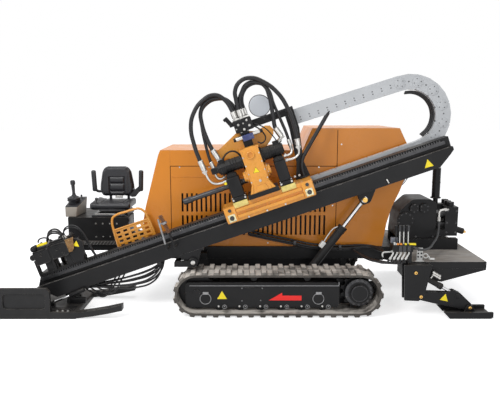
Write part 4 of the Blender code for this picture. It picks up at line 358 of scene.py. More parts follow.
bare_steel = finish("plated steel", (0.50, 0.49, 0.47), 0.30, metal=1.0, tone=0.12, tone_scale=20.0,
                    grain=400.0, bump=0.08, edge=0.002)
dark_steel = finish("oiled steel", (0.045, 0.045, 0.048), 0.34, metal=0.6, tone=0.2,
                    tone_scale=12.0, wear=0.7, grain=300.0, bump=0.08, edge=0.003)
rubbed = finish("rubbed steel", (0.26, 0.26, 0.265), 0.38, metal=0.5, tone=0.2, tone_scale=15.0,
                grain=250.0, bump=0.1, edge=0.002)
for place, side in (("near", -1), ("far", 1)):
    face = side * TRACK_FACE_Y
    out = (0, side, 0)
    shells, hooks_and_highlights = [], []
    for index in range(6):
        x = ROLLER_START_X + ROLLER_PITCH * index
        shells.append(turned((x, face, 0.119), out,
                             [(0, 0), (0.014, 0), (0.014, 0.006), (0.009, 0.011), (0, 0.012)], 16))
        hooks_and_highlights.append(ring((x + HOOK_SHIFT, face + side * 0.002, 0.112), (0, 1, 0), 0.025, 0.005,
                          20))
        shells.append(turned((x + HOOK_SHIFT, face, 0.116), out,
                             [(0, 0), (0.006, 0), (0.006, 0.006), (0, 0.007)], 12))
    for x in BOSS_XS:
        hooks_and_highlights.append(block((x - 0.035, x + 0.042), (face - side * 0.001, face + side * 0.012),
                           (0.280, 0.318), 0.006))
        hooks_and_highlights.append(ring((x, face + side * 0.003, BOSS_Z), (0, 1, 0), 0.072, 0.005, 36))
    # Painted highlight: thin pale steel strips along the frame's top edge and up its rear corner
    # stand in for the light that edge catches.
    hooks_and_highlights.append(block((-0.79, 1.165), (face, face + side * 0.003), (0.394, 0.403), 0.001))
    hooks_and_highlights.append(block((1.157, 1.166), (face, face + side * 0.003), (0.403, 0.450), 0.001))
    for x, z in ((-0.105, 0.195), (0.140, 0.200), (-0.105, 0.366), (0.160, 0.366)):
        hooks_and_highlights.append(bar((x, face, z), (x, face + side * 0.004, z), 0.007, 12))
    fitted(f"roller_bolts_{place}", shells, bare_steel, "machine")
    fitted(f"frame_hooks_{place}", hooks_and_highlights, rubbed, "machine")
    shells = [bar((x, face, BOSS_Z), (x, face + side * 0.002, BOSS_Z), 0.070, 32) for x in BOSS_XS]
    shells.append(plate([(-0.84, 0.312), (-0.66, 0.312), (-0.66, 0.300), (-0.80, 0.300),
                         (-0.82, 0.288), (-0.84, 0.288)], (face, face + side * 0.004), 0.001))
    shells.append(block((-0.10, 0.17), (face, face + side * 0.006), (0.372, 0.379), 0.002))
    shells.append(block((1.00, 1.34), (side * 0.80, side * 0.78), (0.085, 0.510), 0.004))
    fitted(f"lashing_rings_{place}", shells, black, "machine")
    cover_y = side * 1.005
    shells = [bar((DRIVE_X, side * 0.965, DRIVE_Z), (DRIVE_X, cover_y, DRIVE_Z), 0.185, 40,
                  edge=0.006)]
    for index in range(COVER_BOLTS):
        angle = 2 * math.pi * index / COVER_BOLTS
        at = (DRIVE_X + 0.166 * math.cos(angle), cover_y, DRIVE_Z + 0.166 * math.sin(angle))
        shells += bolt(at, out, 0.0105)
    shells.append(ring((DRIVE_X, side * 1.05, DRIVE_Z), (0, 1, 0), 0.104, 0.006, 40))
    fitted(f"drive_bolts_{place}", shells, dark_steel, "machine")

sign_yellow = finish("yellow sign", (0.92, 0.73, 0.01), 0.4, tone=0.05, edge=0.001, bump=0.02)
sign_red = finish("red sign", (0.84, 0.010, 0.006), 0.35, tone=0.08, edge=0.001, bump=0.02)
sign_dark = finish("sign border", (0.03, 0.02, 0.01), 0.4, edge=0.001, bump=0.02, shine=0.3)
SIGN_THICK, SIGN_INNER = 0.0012, 0.90


def sign(name, x, z, size, face, body, where=GROUND, lean=0.0):
    """A blank triangular sign: a yellow plate on a thin dark border; face is its y."""
    reach = size * 0.58  # from the middle to a corner
    corners = [(reach * math.sin(a + lean), reach * math.cos(a + lean))
               for a in (0, 2 * math.pi / 3, 4 * math.pi / 3)]
    outer = [(x + a, z + b) for a, b in corners]
    inner = [(x + a * SIGN_INNER, z + b * SIGN_INNER) for a, b in corners]
    fitted(name + "_border", [plate(outer, (face, face - SIGN_THICK), 0)],
           sign_dark, body, where)
    fitted(name, [plate(inner, (face - SIGN_THICK, face - 2 * SIGN_THICK), 0)],
           sign_yellow, body, where)


sign("track_sign", -0.366, 0.256, 0.14, -TRACK_FACE_Y, "machine")
fitted("direction_arrow", [plate([(0.245, 0.200), (0.420, 0.304), (0.424, 0.265), (0.675, 0.265),
                                  (0.675, 0.1995)], (-TRACK_FACE_Y, -TRACK_FACE_Y - 0.0015), 0)],
       sign_red, "machine")

# Chassis and mast bracket. Welded box rails under a deck plate, painted black, with
# hydraulic hoses and pipes clipped along the near rail to the valve bank.
refinish(black, "chassis_frame", "mast_pivot_bracket")
hose_black = finish("hose rubber", (0.012, 0.012, 0.0135), 0.42, tone=0.2, tone_scale=30.0,
                    dust_amount=0.12, grain=500.0, bump=0.12, edge=0.002, shine=0.35)


def hose(points, radius, turns=12):
    """A round tube on a smooth curve through its points, its ends closed."""
    run = bpy.data.curves.new("run", "CURVE")
    run.dimensions = "3D"
    run.bevel_depth = radius
    run.bevel_resolution = 3
    run.resolution_u = turns
    run.use_fill_caps = True
    spline = run.splines.new("BEZIER")
    spline.bezier_points.add(len(points) - 1)
    for knot, place in zip(spline.bezier_points, points):
        knot.co = place
        knot.handle_left_type = knot.handle_right_type = "AUTO"
    holder = bpy.data.objects.new("run", run)
    mesh = bpy.data.meshes.new_from_object(holder)
    shell = bmesh.new()
    shell.from_mesh(mesh)
    bpy.data.objects.remove(holder)
    bpy.data.curves.remove(run)
    bpy.data.meshes.remove(mesh)
    bmesh.ops.remove_doubles(shell, verts=shell.verts, dist=1e-5)
    bmesh.ops.recalc_face_normals(shell, faces=shell.faces)
    return shell


shells = []
for index in range(3):
    y, z = -0.435 - 0.03 * (index % 2), 0.985 - 0.03 * index
    shells.append(hose([(-0.02, y + 0.02, z + 0.02), (0.22, y, z - 0.03), (0.55, y, z - 0.10),
                        (0.90, y, z - 0.17), (1.30, y, z - 0.19), (1.62, y, 0.80 - 0.02 * index),
                        (1.80, -0.60 - 0.1 * index, 0.80)], 0.014))
fitted("rail_hoses", shells, hose_black, "machine")
shells = [block((x - 0.02, x + 0.02), (-0.50, -0.40), (0.735 + lift, 0.80 + lift), 0.006)
          for x, lift in ((0.62, 0.075), (1.25, 0.015))]
fitted("rail_clamps", shells, dark_steel, "machine")

# Hood. Folded orange sheet panels that meet at two upright seams and a roof line, held by
# small screws; the near side is one louvred panel and the far side two hinged doors.
hood_orange = finish("hood enamel", (0.645, 0.225, 0.024), 0.30, tone=0.10, tone_scale=0.7,
                     dust=(0.42, 0.25, 0.12), dust_amount=0.25, bare=(0.30, 0.15, 0.07), wear=0.25,
                     edge=0.005, grain=420.0, bump=0.035, coat=0.15, shine=0.22)
refinish(hood_orange, "hood_front", "hood_roof", "hood_rear", "hood_near_panel",
         "hood_far_door_front", "hood_far_door_rear")
hood_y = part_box("hood_front")[0].y
HOOD_LEFT_X, HOOD_RIGHT_X, HOOD_FOLD_Z = -1.10, 1.20, 1.895
shells = []
HOOD_SCREWS = ((-0.971, 1.885), (-0.563, 1.885), (0.95, 1.885), (1.15, 1.35), (-0.55, 0.815),
               (0.25, 0.815), (1.10, 0.815), (1.255, 1.0), (1.255, 1.6), (1.255, 2.2))
for x, z in HOOD_SCREWS:
    shells += bolt((x, hood_y, z), (0, -1, 0), 0.007)
fitted("hood_screws", shells, bare_steel, "machine")
fold = [(-1.085, 1.742), (1.185, 1.742), (1.185, 1.758), (-1.085, 1.758)]
fitted("hood_fold", [plate(fold, (hood_y, hood_y - 0.005), 0.0025)],
       hood_orange, "machine")
fitted("hood_liner", [block((-0.98, 1.16), (-0.318, -0.310), (0.82, 1.72), 0.002)],
       black, "machine")
seam_rubber = finish("seam rubber", (0.05, 0.018, 0.008), 0.7, edge=0.001, bump=0.05, shine=0.1)
SEAM_HALF, SEAM_PROUD, HOOD_BOTTOM_Z = 0.0045, 0.0012, 0.79
seam_y = (hood_y - SEAM_PROUD, hood_y + 0.006)
shells = [block((x - SEAM_HALF, x + SEAM_HALF), seam_y, (HOOD_BOTTOM_Z, top), 0.0005)
          for x, top in ((HOOD_LEFT_X, HOOD_FOLD_Z), (HOOD_RIGHT_X, 2.395))]
shells.append(block((HOOD_LEFT_X, HOOD_RIGHT_X), seam_y, (HOOD_FOLD_Z, 1.904), 0.0005))
fitted("hood_seams", shells, seam_rubber, "machine")
far_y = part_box("hood_front")[1].y
for place, body, x in (("front", "door_front", -0.03), ("rear", "door_rear", 0.14)):
    grip = [hose([(x, far_y, 1.22), (x, far_y + 0.035, 1.23), (x, far_y + 0.045, 1.29),
                  (x, far_y + 0.035, 1.35), (x, far_y, 1.36)], 0.008),
            block((x - 0.022, x + 0.022), (far_y, far_y + 0.006), (1.19, 1.39), 0.004)]
    fitted(f"door_grip_{place}", grip, black, body)

# Engine. One plain block in the hood, of grey cast metal, seen only as a dark shape
# through the louvres.
refinish(finish("engine grey", (0.05, 0.05, 0.052), 0.6, tone=0.3, tone_scale=6.0, grain=60.0,
                bump=0.2), "engine_block")

# Operator's station. A folded black platform with a treadplate toe, screws in two rows, a
# sprung base with a slide rail under the seat and a bent grab loop at its side.
refinish(black, "operator_platform")
shells = []
SCREW_START_X, SCREW_PITCH, PLATFORM_Y = -2.29, 0.104, 0.10
for z, count in ((0.798, 3), (0.997, 4)):
    for index in range(count):
        shells += bolt((SCREW_START_X + SCREW_PITCH * index, PLATFORM_Y, z), (0, -1, 0), 0.008)
fitted("platform_screws", shells, bare_steel, "machine")
# Real worn treadplate on the toe; the same material also makes the painted highlight strip on the
# mast's ledge.
worn_tread_and_highlight = finish("worn treadplate and ledge highlight", (0.045, 0.043, 0.041), 0.5, tone=0.35, tone_scale=9.0,
                    dust_amount=0.5, bare=(0.40, 0.38, 0.36), wear=1.8, edge=0.003, grain=200.0,
                    bump=0.2, shine=0.3)
fitted("toe_tread", [block((-2.56, -1.81), (0.078, PLATFORM_Y), (0.676, 0.738), 0.004)], worn_tread_and_highlight,
       "machine")
tread_wear = finish("rubbed tread ribs", (0.20, 0.195, 0.19), 0.45, metal=0.4, tone=0.3,
                    tone_scale=20.0, edge=0.001)
RIB_START_X, RIB_PITCH, RIB_WIDTH, RIB_LEAN = -2.53, 0.048, 0.009, 0.035
shells = []
for index in range(14):
    x = RIB_START_X + RIB_PITCH * index
    shells.append(plate([(x, 0.684), (x + RIB_WIDTH, 0.684), (x + RIB_LEAN + RIB_WIDTH, 0.730),
                         (x + RIB_LEAN, 0.730)], (0.079, 0.073), 0.001))
fitted("toe_ribs", shells, tread_wear, "machine")
shells = [block((-2.36, -1.88), (0.14, 0.60), (1.09, 1.122), 0.006),
          block((-2.26, -1.88), (0.20, 0.66), (1.163, 1.191), 0.008)]
PLEAT, PLEAT_START_Z = 0.010, 1.123
for index in range(4):
    inset = 0.012 * (index % 2)
    low_z = PLEAT_START_Z + PLEAT * index
    shells.append(block((-2.23 + inset, -1.91 - inset), (0.22 + inset, 0.60),
                        (low_z, low_z + PLEAT), 0.003))
shells.append(hose([(-1.98, 0.135, 1.112), (-1.86, 0.125, 1.115), (-1.80, 0.125, 1.05),
                    (-1.85, 0.13, 0.985), (-1.98, 0.135, 0.97)], 0.009))
shells.append(turned((-1.90, 0.125, 1.112), (0, 0, 1),
                     [(0, 0), (0.014, 0), (0.016, 0.012), (0.010, 0.022), (0, 0.024)], 16))
fitted("seat_base", shells, dark_steel, "machine")
fitted("seat_rail", [block((-2.31, -2.00), (0.150, 0.175), (1.122, 1.138), 0.003),
                     block((-2.10, -1.98), (0.58, 0.60), (1.310, 1.345), 0.003)], bare_steel,
       "machine")

# Seat. Black vinyl over foam: a cushion with raised sides and a back with three sewn ribs,
# both swelled by a cloth simulation, and moulded armrests folded up beside the back.
vinyl = finish("black vinyl", (0.0105, 0.0112, 0.0150), 0.36, tone=0.15, tone_scale=10.0,
               grain=700.0, bump=0.18, edge=0.002, dust_amount=0.06)
VOXEL, FOAM_PRESSURE, CLOTH_FRAMES = 0.006, 4, 20


def plumped(name, shell, cap):
    """A padded form: remeshed finely and swelled as cloth, each point moved by cap at most."""
    start = bpy.data.meshes.new(name)
    shell.to_mesh(start)
    shell.free()
    made = bpy.data.objects.new(name, start)
    bpy.context.scene.collection.objects.link(made)
    skin = made.modifiers.new("skin", "REMESH")
    skin.mode = "VOXEL"
    skin.voxel_size = VOXEL
    bpy.context.view_layer.update()
    skinned = made.evaluated_get(bpy.context.evaluated_depsgraph_get())
    mesh = bpy.data.meshes.new_from_object(skinned)
    made.modifiers.clear()
    made.data = mesh
    cloth = made.modifiers.new("foam", "CLOTH")
    cloth.settings.use_pressure = True
    cloth.settings.uniform_pressure_force = FOAM_PRESSURE
    cloth.settings.effector_weights.gravity = 0
    cloth.point_cache.frame_start, cloth.point_cache.frame_end = 1, CLOTH_FRAMES
    for step in range(1, CLOTH_FRAMES + 1):
        bpy.context.scene.frame_set(step)
    swelled = made.evaluated_get(bpy.context.evaluated_depsgraph_get())
    moved = [v.co.copy() for v in swelled.data.vertices]
    made.modifiers.clear()
    bpy.context.scene.frame_set(1)
    for vert, place in zip(mesh.vertices, moved):
        step = place - vert.co
        vert.co += step * min(1.0, cap / max(step.length, 1e-9))
    mesh.materials.clear()
    mesh.materials.append(vinyl)
    mesh.shade_smooth()
    return made


def sewn(pad, way, depth_at):
    """Seams and panels: each point of a pad sinks along way by the depth of its place."""
    for vert in pad.data.vertices:
        vert.co += Vector(way) * depth_at(vert.co)


def upholstered(pad, node):
    """A finished pad, in the place of its plain CAD solid."""
    soften = pad.modifiers.new("soften", "SUBSURF")
    soften.levels = soften.render_levels = 1
    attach(pad, "machine")
    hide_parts(node)


def groove(distance, width=0.007):
    """1 in the middle of a seam, falling to 0 beside it."""
    return math.exp(-(distance / width) ** 2)


low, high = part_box("seat_cushion")
middle = (low + high) / 2
shell = block((low.x - 0.045, high.x - 0.042), (low.y + 0.012, high.y - 0.012),
              (low.z + 0.004, high.z - 0.030), 0.034, 4)
bmesh.ops.recalc_face_normals(shell, faces=shell.faces)
pad = plumped("cushion_pad", shell, 0.012)
SEAM_SIDE, SEAM_FRONT, SEAM_DEPTH, SIDE_RISE = 0.165, 0.15, 0.008, 0.022


def cushion_depth(co):
    """Two seams along the seat and one across its back, between sides that rise."""
    if co.z < middle.z:
        return 0.0
    across = abs(co.x - middle.x + 0.02)
    seams = 0.0
    if low.y + 0.035 < co.y < high.y - 0.05:
        seams = groove(across - SEAM_SIDE)
        if across < SEAM_SIDE:
            seams = max(seams, groove(co.y - low.y - SEAM_FRONT))
    side = min(1.0, max(0.0, (across - 0.15) / 0.12))
    back = 0.4 + 0.6 * min(1.0, (co.y - low.y) / 0.25)
    return SEAM_DEPTH * seams - SIDE_RISE * side ** 2 * back


sewn(pad, (0, 0, -1), cushion_depth)
upholstered(pad, "seat_cushion")

low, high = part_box("seat_back")
back_x, back_z = middle.x - 0.022, low.z + 0.015
half_outline = [(0.215, 0.0), (0.248, 0.022), (0.276, 0.09), (0.272, 0.19), (0.240, 0.37),
                (0.222, 0.425), (0.165, high.z - back_z - 0.012)]
outline = [(back_x + x, back_z + z) for x, z in half_outline]
outline += [(back_x - x, back_z + z) for x, z in reversed(half_outline)]
pad = plumped("back_pad", plate(outline, (high.y - 0.094, high.y - 0.012), 0.024), 0.012)
RIBS = ((0.005, 0.082), (0.090, 0.202), (0.210, 0.310))  # from and to, above the pad's foot
PANEL_HALF, PANEL_SINK, RIB_PLUMP, SIDE_SEAM = 0.128, 0.022, 0.018, 0.175


def back_depth(co):
    """A sunk middle panel with three plump ribs between two side seams."""
    if co.y > high.y - 0.055:
        return 0.0
    across, rise = abs(co.x - back_x), co.z - back_z
    inside = min(1.0, max(0.0, (PANEL_HALF - across) / 0.012))
    depth = 0.005 * groove(across - SIDE_SEAM) if 0.02 < rise < 0.40 else 0.0
    if inside and 0.0 < rise < 0.315:
        sink = PANEL_SINK
        for start, end in RIBS:
            if start < rise < end:
                share = (rise - start) / (end - start)
                fade = min(1.0, max(0.0, (0.118 - across) / 0.02))
                sink -= RIB_PLUMP * (4 * share * (1 - share)) ** 0.5 * fade
        depth = max(depth, sink * inside)
    return depth


sewn(pad, (0, 1, 0), back_depth)
upholstered(pad, "seat_back")
SEAT_X = middle.x - 0.08
shells = []
for side in (-1, 1):
    arm = block((-0.036, 0.036), (0.532, 0.592), (-0.165, 0.165), 0.026, 4)
    arm.transform(Matrix.Translation((SEAT_X + side * 0.362, 0, low.z + 0.270))
                  @ Matrix.Rotation(side * 0.04, 4, "Y"))
    shells.append(arm)
    shells.append(hose([(SEAT_X + side * 0.20, 0.62, low.z + 0.15),
                        (SEAT_X + side * 0.29, 0.60, low.z + 0.10),
                        (SEAT_X + side * 0.355, 0.57, low.z + 0.13)], 0.021))
    shells.append(block((SEAT_X + side * 0.14 - 0.02, SEAT_X + side * 0.14 + 0.02), (0.655, 0.685),
                        (low.z - 0.10, low.z + 0.14), 0.006))
hinge = ((0.17, 0.045), (0.21, 0.015), (0.27, 0.02), (0.335, 0.10), (0.335, 0.19), (0.30, 0.165))
shells.append(plate([(SEAT_X + x, low.z + z) for x, z in hinge], (0.556, 0.59), 0.008))
fitted("armrests", shells, vinyl, "machine")
shells = [bar((-2.29, 0.19, 1.29), (-2.29, 0.19, 1.345), 0.008, 12),
          turned((-2.29, 0.19, 1.335), (0, 0, 1),
                 [(0, 0), (0.012, 0), (0.023, 0.012), (0.022, 0.028), (0.012, 0.038), (0, 0.040)],
                 20)]
fitted("seat_knob", shells, dark_steel, "machine")

# Control console. A beige moulded box with a black sloping lid, the drill lever in its
# pleated rubber boot, a short second lever and a row of push buttons.
console_beige = finish("console plastic", (0.34, 0.305, 0.262), 0.5, tone=0.06, tone_scale=4.0,
                       dust_amount=0.25, grain=500.0, bump=0.12, edge=0.008)
low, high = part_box("control_console")
left = low.x - 0.108


def leaning_box(width, z, inset=0.0):
    """A box whose top rises away from the near side and which is wider at its top and far side."""
    shell = block((left + inset, left + width - inset), (low.y + inset, high.y - inset), z, 0)
    for vert in shell.verts:
        far = vert.co.y > 0.3
        if vert.co.z > (z[0] + z[1]) / 2 or z[0] > 1.2:
            vert.co.z += 0.085 if far else 0.0
        if vert.co.x > left + width / 2:
            vert.co.x += (0.035 if far else 0.0) - (0.025 if vert.co.z < 1.15 else 0.0)
    rounded(shell, shell.edges[:], 0.004 if inset else 0.011, 3)
    return shell


CASE_WIDTH, STICK_Y, STICK_Z = 0.185, 0.30, 1.40
case = fitted("console_case", [leaning_box(CASE_WIDTH, (low.z, 1.238))], console_beige, "machine")
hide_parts("control_console")
shells = [leaning_box(CASE_WIDTH, (1.236, 1.252), 0.003)]
stick_x = left + 0.092
boot = [(0, 1.272), (0.078, 1.272), (0.082, 1.295), (0.074, 1.300), (0.096, 1.308), (0.102, 1.326),
        (0.088, 1.334), (0.100, 1.342), (0.096, 1.360), (0.070, 1.368), (0.066, 1.378),
        (0.040, 1.384), (0.036, 1.396), (0.028, 1.400), (0.026, 1.420), (0, 1.420)]
shells.append(turned((stick_x, STICK_Y, 0), (0, 0, 1), boot, 36))
grip = [(0, 0), (0.021, 0), (0.023, 0.07), (0.026, 0.13), (0.025, 0.148), (0.034, 0.156),
        (0.037, 0.18), (0.035, 0.21), (0.024, 0.222), (0, 0.224)]
shells.append(turned((stick_x, STICK_Y, STICK_Z), (-0.05, 0, 1), grip, 28))
shells.append(bar((left + 0.175, 0.44, 1.31), (left + 0.165, 0.44, 1.365), 0.007, 12))
shells.append(turned((left + 0.166, 0.44, 1.355), (-0.2, 0, 1),
                     [(0, 0), (0.010, 0), (0.015, 0.012), (0.012, 0.026), (0, 0.028)], 18))
BUTTON_PITCH = 0.028
for index in range(6):
    place = (left + 0.05 + BUTTON_PITCH * index, 0.47, 1.318)
    shells.append(turned(place, (0, -0.2, 1),
                         [(0, 0), (0.010, 0), (0.010, 0.012), (0.008, 0.016), (0, 0.016)], 16))
fitted("console_lid", shells, vinyl, "machine")

# Rear deck. A box of plate with pin boxes for the outriggers; its top is walked bare, and
# its pins are gold-passivated with retaining plates.
refinish(black, "rear_deck", "outrigger_leg_near", "outrigger_leg_far", "outrigger_barrel_near",
         "outrigger_barrel_far", "outrigger_foot_near", "outrigger_foot_far")
deck_wear = finish("walked deck", (0.27, 0.253, 0.235), 0.6, tone=0.5, tone_scale=5.0,
                   dust=(0.30, 0.265, 0.225), dust_amount=0.7, bare=(0.4, 0.37, 0.33), wear=0.8,
                   grain=120.0, bump=0.3, stretch=(0.6, 2.2, 1.0))
fitted("deck_top", [block((2.055, 3.095), (-0.945, 0.945), (0.699, 0.7035), 0.001)], deck_wear,
       "machine")
gold = finish("gold passivated steel", (0.70, 0.42, 0.12), 0.32, metal=0.9, tone=0.15,
              tone_scale=20.0, grain=300.0, bump=0.08, edge=0.002)
PIN_HEAD = [(0, 0), (0.016, 0), (0.016, 0.031), (0.021, 0.034), (0.021, 0.042), (0.017, 0.045),
            (0.008, 0.045), (0.006, 0.036), (0, 0.036)]
PIN_CAP = [(0, 0), (0.030, 0), (0.030, 0.006), (0.024, 0.010), (0, 0.010)]
BARREL_PIN, PIPE_RADIUS = (2.14, 0.59), 0.013
along, up = Vector((0.868, 0, -0.496)), Vector((0.496, 0, 0.868))  # the outrigger barrel's axis
for place, side in (("near", -1), ("far", 1)):
    shells = [turned((x, side * 1.05, z), (0, side, 0), PIN_HEAD, 24)
              for x, z in (BARREL_PIN, (2.22, 0.27))]
    fitted(f"pin_box_pins_{place}", shells, gold, "machine")
    y = side * 1.082
    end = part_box(f"outrigger_rod_{place}")[0 if side < 0 else 1].y
    fitted(f"rod_pin_cap_{place}",
           [turned((2.703, end - side * 0.006, 0.265), (0, side, 0), PIN_CAP, 24)],
           black, f"leg_{place}")
    fitted(f"foot_pin_{place}",
           [turned((2.866, y - side * 0.033, 0.12), (0, side, 0), PIN_HEAD, 24)],
           gold, f"foot_{place}")
    shells = []
    for offset, start, end in ((0.088, 0.215, 0.34), (0.114, 0.200, 0.325)):
        at = Vector((BARREL_PIN[0], side * 1.03, BARREL_PIN[1])) + up * offset
        shells.append(bar(at + along * start, at + along * end, PIPE_RADIUS, 16, edge=0.003))
        for knuckle in (start + 0.02, (start + end) / 2, end - 0.02):
            shells.append(bar(at + along * (knuckle - 0.012), at + along * (knuckle + 0.012),
                              PIPE_RADIUS * 1.45, 6))
    at = Vector((BARREL_PIN[0], side * 1.02, BARREL_PIN[1])) + along * 0.23
    shells.append(bar(at + up * 0.03, at + up * 0.12, 0.012, 12))
    fitted(f"outrigger_fittings_{place}", shells, bare_steel, f"leg_barrel_{place}")
chrome = finish("polished rod", (0.62, 0.62, 0.63), 0.16, metal=1.0, tone=0.03, tone_scale=8.0,
                grain=200.0, bump=0.01, edge=0.001)
refinish(chrome, "outrigger_rod_near", "outrigger_rod_far", "lift_rod")
sign("outrigger_sign", 2.535, 0.240, 0.12, -1.0545, "leg_near", lean=0.22)

# Valve bank. Three spool valves of black cast iron with pale-stemmed levers, coloured
# caps on their ends, plated elbows below and hoses that run under the chassis.
refinish(black, "valve_bank")
pale_plated = finish("pale plated metal", (0.66, 0.66, 0.64), 0.42, tone=0.06, tone_scale=12.0,
                     grain=300.0, bump=0.05, edge=0.002)
VALVE_Y, PORT_START_X, PORT_PITCH = -1.02, 1.848, 0.051
shells, stems, caps, elbows, pipes = [], [], [], [], []
for index, x in enumerate((1.936, 1.987, 2.045)):
    stems.append(bar((x, -1.0, 0.955), (x - 0.004, -1.0, 1.13), 0.0075, 14))
    shells.append(turned((x - 0.004, -1.0, 1.12), (-0.03, 0, 1),
                         [(0, 0), (0.013, 0), (0.016, 0.03), (0.014, 0.07), (0.008, 0.082),
                          (0, 0.082)], 18))
    shells.append(block((x - 0.022, x + 0.022), (-1.062, -1.045), (0.868, 0.940), 0.006))
    shells.append(bar((x, -1.056, 0.905), (x, -1.068, 0.905), 0.015, 6))
for x, width, colour in ((1.905, 0.030, 0), (1.945, 0.030, 0), (2.006, 0.026, 1),
                         (2.095, 0.085, 1)):
    caps.append((block((x - width / 2, x + width / 2), (-1.045, -1.005), (0.946, 0.970), 0.005),
                 colour))
for index in range(5):
    x = PORT_START_X + PORT_PITCH * index
    elbows.append(hose([(x, VALVE_Y, 0.868), (x + 0.003, VALVE_Y, 0.838),
                        (x - 0.012, VALVE_Y, 0.802), (x - 0.042, VALVE_Y, 0.748)], 0.0115))
    for at, way in (((x, VALVE_Y, 0.862), (0, 0, 1)), ((x - 0.030, VALVE_Y, 0.770), (0.45, 0, 1))):
        elbows.append(turned(at, way, [(0, -0.012), (0.016, -0.012), (0.017, 0.0), (0.016, 0.012),
                                       (0, 0.012)], 6))
    pipes.append(hose([(x - 0.040, VALVE_Y, 0.752), (x - 0.072, -1.01, 0.712),
                       (1.66 + 0.022 * index, -0.93, 0.700), (1.54 + 0.014 * index, -0.80, 0.712),
                       (1.46, -0.60, 0.74), (1.43, -0.40, 0.74)], 0.013))
elbows.append(hose([(1.86, -0.93, 0.835), (1.80, -0.93, 0.828), (1.748, -0.93, 0.822),
                    (1.736, -0.93, 0.805), (1.742, -0.93, 0.762)], 0.0105))
elbows.append(bar((1.862, -1.03, 0.95), (1.862, -1.03, 0.985), 0.012, 6))
elbows.append(bar((1.885, -1.03, 0.95), (1.885, -1.03, 0.972), 0.010, 6))
fitted("valve_knobs", shells, dark_steel, "machine")
fitted("valve_stems", stems, pale_plated, "machine")
cap_orange = finish("orange cap", (0.80, 0.28, 0.03), 0.45, tone=0.06, edge=0.001)
for name, material, colour in (("valve_caps_orange", cap_orange, 0),
                               ("valve_caps_yellow", sign_yellow, 1)):
    fitted(name, [shell for shell, which in caps if which == colour], material, "machine")
fitted("valve_elbows", elbows, pale_plated, "machine")
fitted("valve_hoses", pipes, hose_black, "machine")
slate = finish("slate box", (0.16, 0.17, 0.20), 0.45, tone=0.08, edge=0.003)
fitted("valve_box", [block((1.835, 1.925), (-0.95, -0.905), (0.95, 1.024), 0.007)], slate,
       "machine")
shells = [block((2.185, 2.265), (-0.93, -0.918), (0.700, 0.886), 0.006),
          block((2.165, 2.285), (-0.94, -0.90), (0.700, 0.712), 0.004),
          ring((2.305, -0.92, 0.775), (0.3, 1, 0.2), 0.030, 0.0075, 20),
          ring((2.345, -0.92, 0.755), (1, 0.3, 0.4), 0.022, 0.006, 18),
          block((2.355, 2.425), (-0.935, -0.905), (0.722, 0.748), 0.008)]
fitted("deck_shackle", shells, pale_plated, "machine")
fitted("shackle_holes", [bar((x, -0.9305, z), (x, -0.9325, z), 0.012, 16) for x in (2.205, 2.245)
                         for z in (0.765, 0.81, 0.855)], black, "machine")

# Mud pump. Cast crankcase, plungers, valve block and pulsation damper, all black, with
# bolted covers, a plated elbow with a braided hose and an outlet with a gold tip.
refinish(black, "pump_base", "pump_crankcase", "pump_fluid_end")
shells = []
for x, z, radius, count in ((2.317, 1.296, 0.052, 6), (2.459, 1.296, 0.052, 6),
                            (2.20, 1.12, 0.10, 10)):
    for index in range(count):
        angle = 2 * math.pi * (index + 0.5) / count
        at = (x + radius * math.cos(angle), -0.29, z + radius * math.sin(angle))
        shells += bolt(at, (0, -1, 0), 0.007)
for x in (2.12, 2.36, 2.60):
    shells += bolt((x, -0.27, 0.885), (0, -1, 0), 0.010)
PLUNGER_YS = (-0.12, 0.0, 0.12)
for y in PLUNGER_YS:
    for index in range(6):
        angle = math.pi * index / 3
        at = (2.88 + 0.034 * math.cos(angle), y + 0.034 * math.sin(angle), 1.36)
        shells += bolt(at, (0, 0, 1), 0.006)
for z in (0.93, 1.07, 1.24):
    for x in (2.815, 2.945):
        shells += bolt((x, -0.20, z), (0, -1, 0), 0.010)
fitted("pump_bolts", shells, dark_steel, "machine")
shells = [bar((2.70, 0, 1.40), (2.70, 0, 1.415), 0.075, 28, edge=0.003),
          bar((2.70, 0, 1.62), (2.70, 0, 1.64), 0.0605, 28, edge=0.003),
          block((2.66, 2.74), (-0.10, 0.10), (0.98, 1.18), 0.01)]
for y in PLUNGER_YS:
    shells.append(bar((2.655, y, 1.09), (2.675, y, 1.09), 0.046, 22, edge=0.004))
fitted("pump_rings", shells, black, "machine")
ELBOW_X, ELBOW_Y = 2.682, -0.245
shells = [turned((2.715, 0, 1.838), (0.1, 0, 1),
                 [(0, 0), (0.036, 0), (0.040, 0.012), (0.034, 0.030), (0.020, 0.042), (0, 0.044)],
                 24),
          hose([(2.83, -0.20, 1.265), (2.80, -0.235, 1.268), (2.73, ELBOW_Y, 1.266),
                (2.688, ELBOW_Y, 1.245), (ELBOW_X, ELBOW_Y, 1.19), (ELBOW_X, ELBOW_Y, 1.11)],
               0.0165),
          bar((ELBOW_X, ELBOW_Y, 1.165), (ELBOW_X, ELBOW_Y, 1.105), 0.023, 6),
          bar((2.750, ELBOW_Y, 1.267), (2.785, -0.242, 1.268), 0.024, 6)]
fitted("pump_elbow", shells, bare_steel, "machine")
braid = finish("braided hose", (0.05, 0.05, 0.052), 0.5, tone=0.7, tone_scale=160.0, grain=260.0,
               bump=0.5, edge=0.001)
fitted("pump_hose", [hose([(ELBOW_X, ELBOW_Y, 1.12), (2.678, -0.27, 1.02), (2.62, -0.40, 0.925),
                           (2.51, -0.58, 0.865), (2.36, -0.82, 0.845), (2.20, -0.97, 0.875),
                           (2.12, -1.0, 0.91), (2.09, -1.0, 0.915)], 0.0155)], braid, "machine")
fitted("outlet_tip", [turned((3.075, -0.12, 0.932), (0.19, 0, -0.06),
                             [(0, 0), (0.034, 0), (0.036, 0.01), (0.024, 0.016), (0.022, 0.03),
                              (0.015, 0.036), (0.012, 0.05), (0, 0.052)], 20),
                      bar((2.935, -0.12, 0.957), (2.965, -0.12, 0.951), 0.052, 24, edge=0.004)],
       gold, "machine")

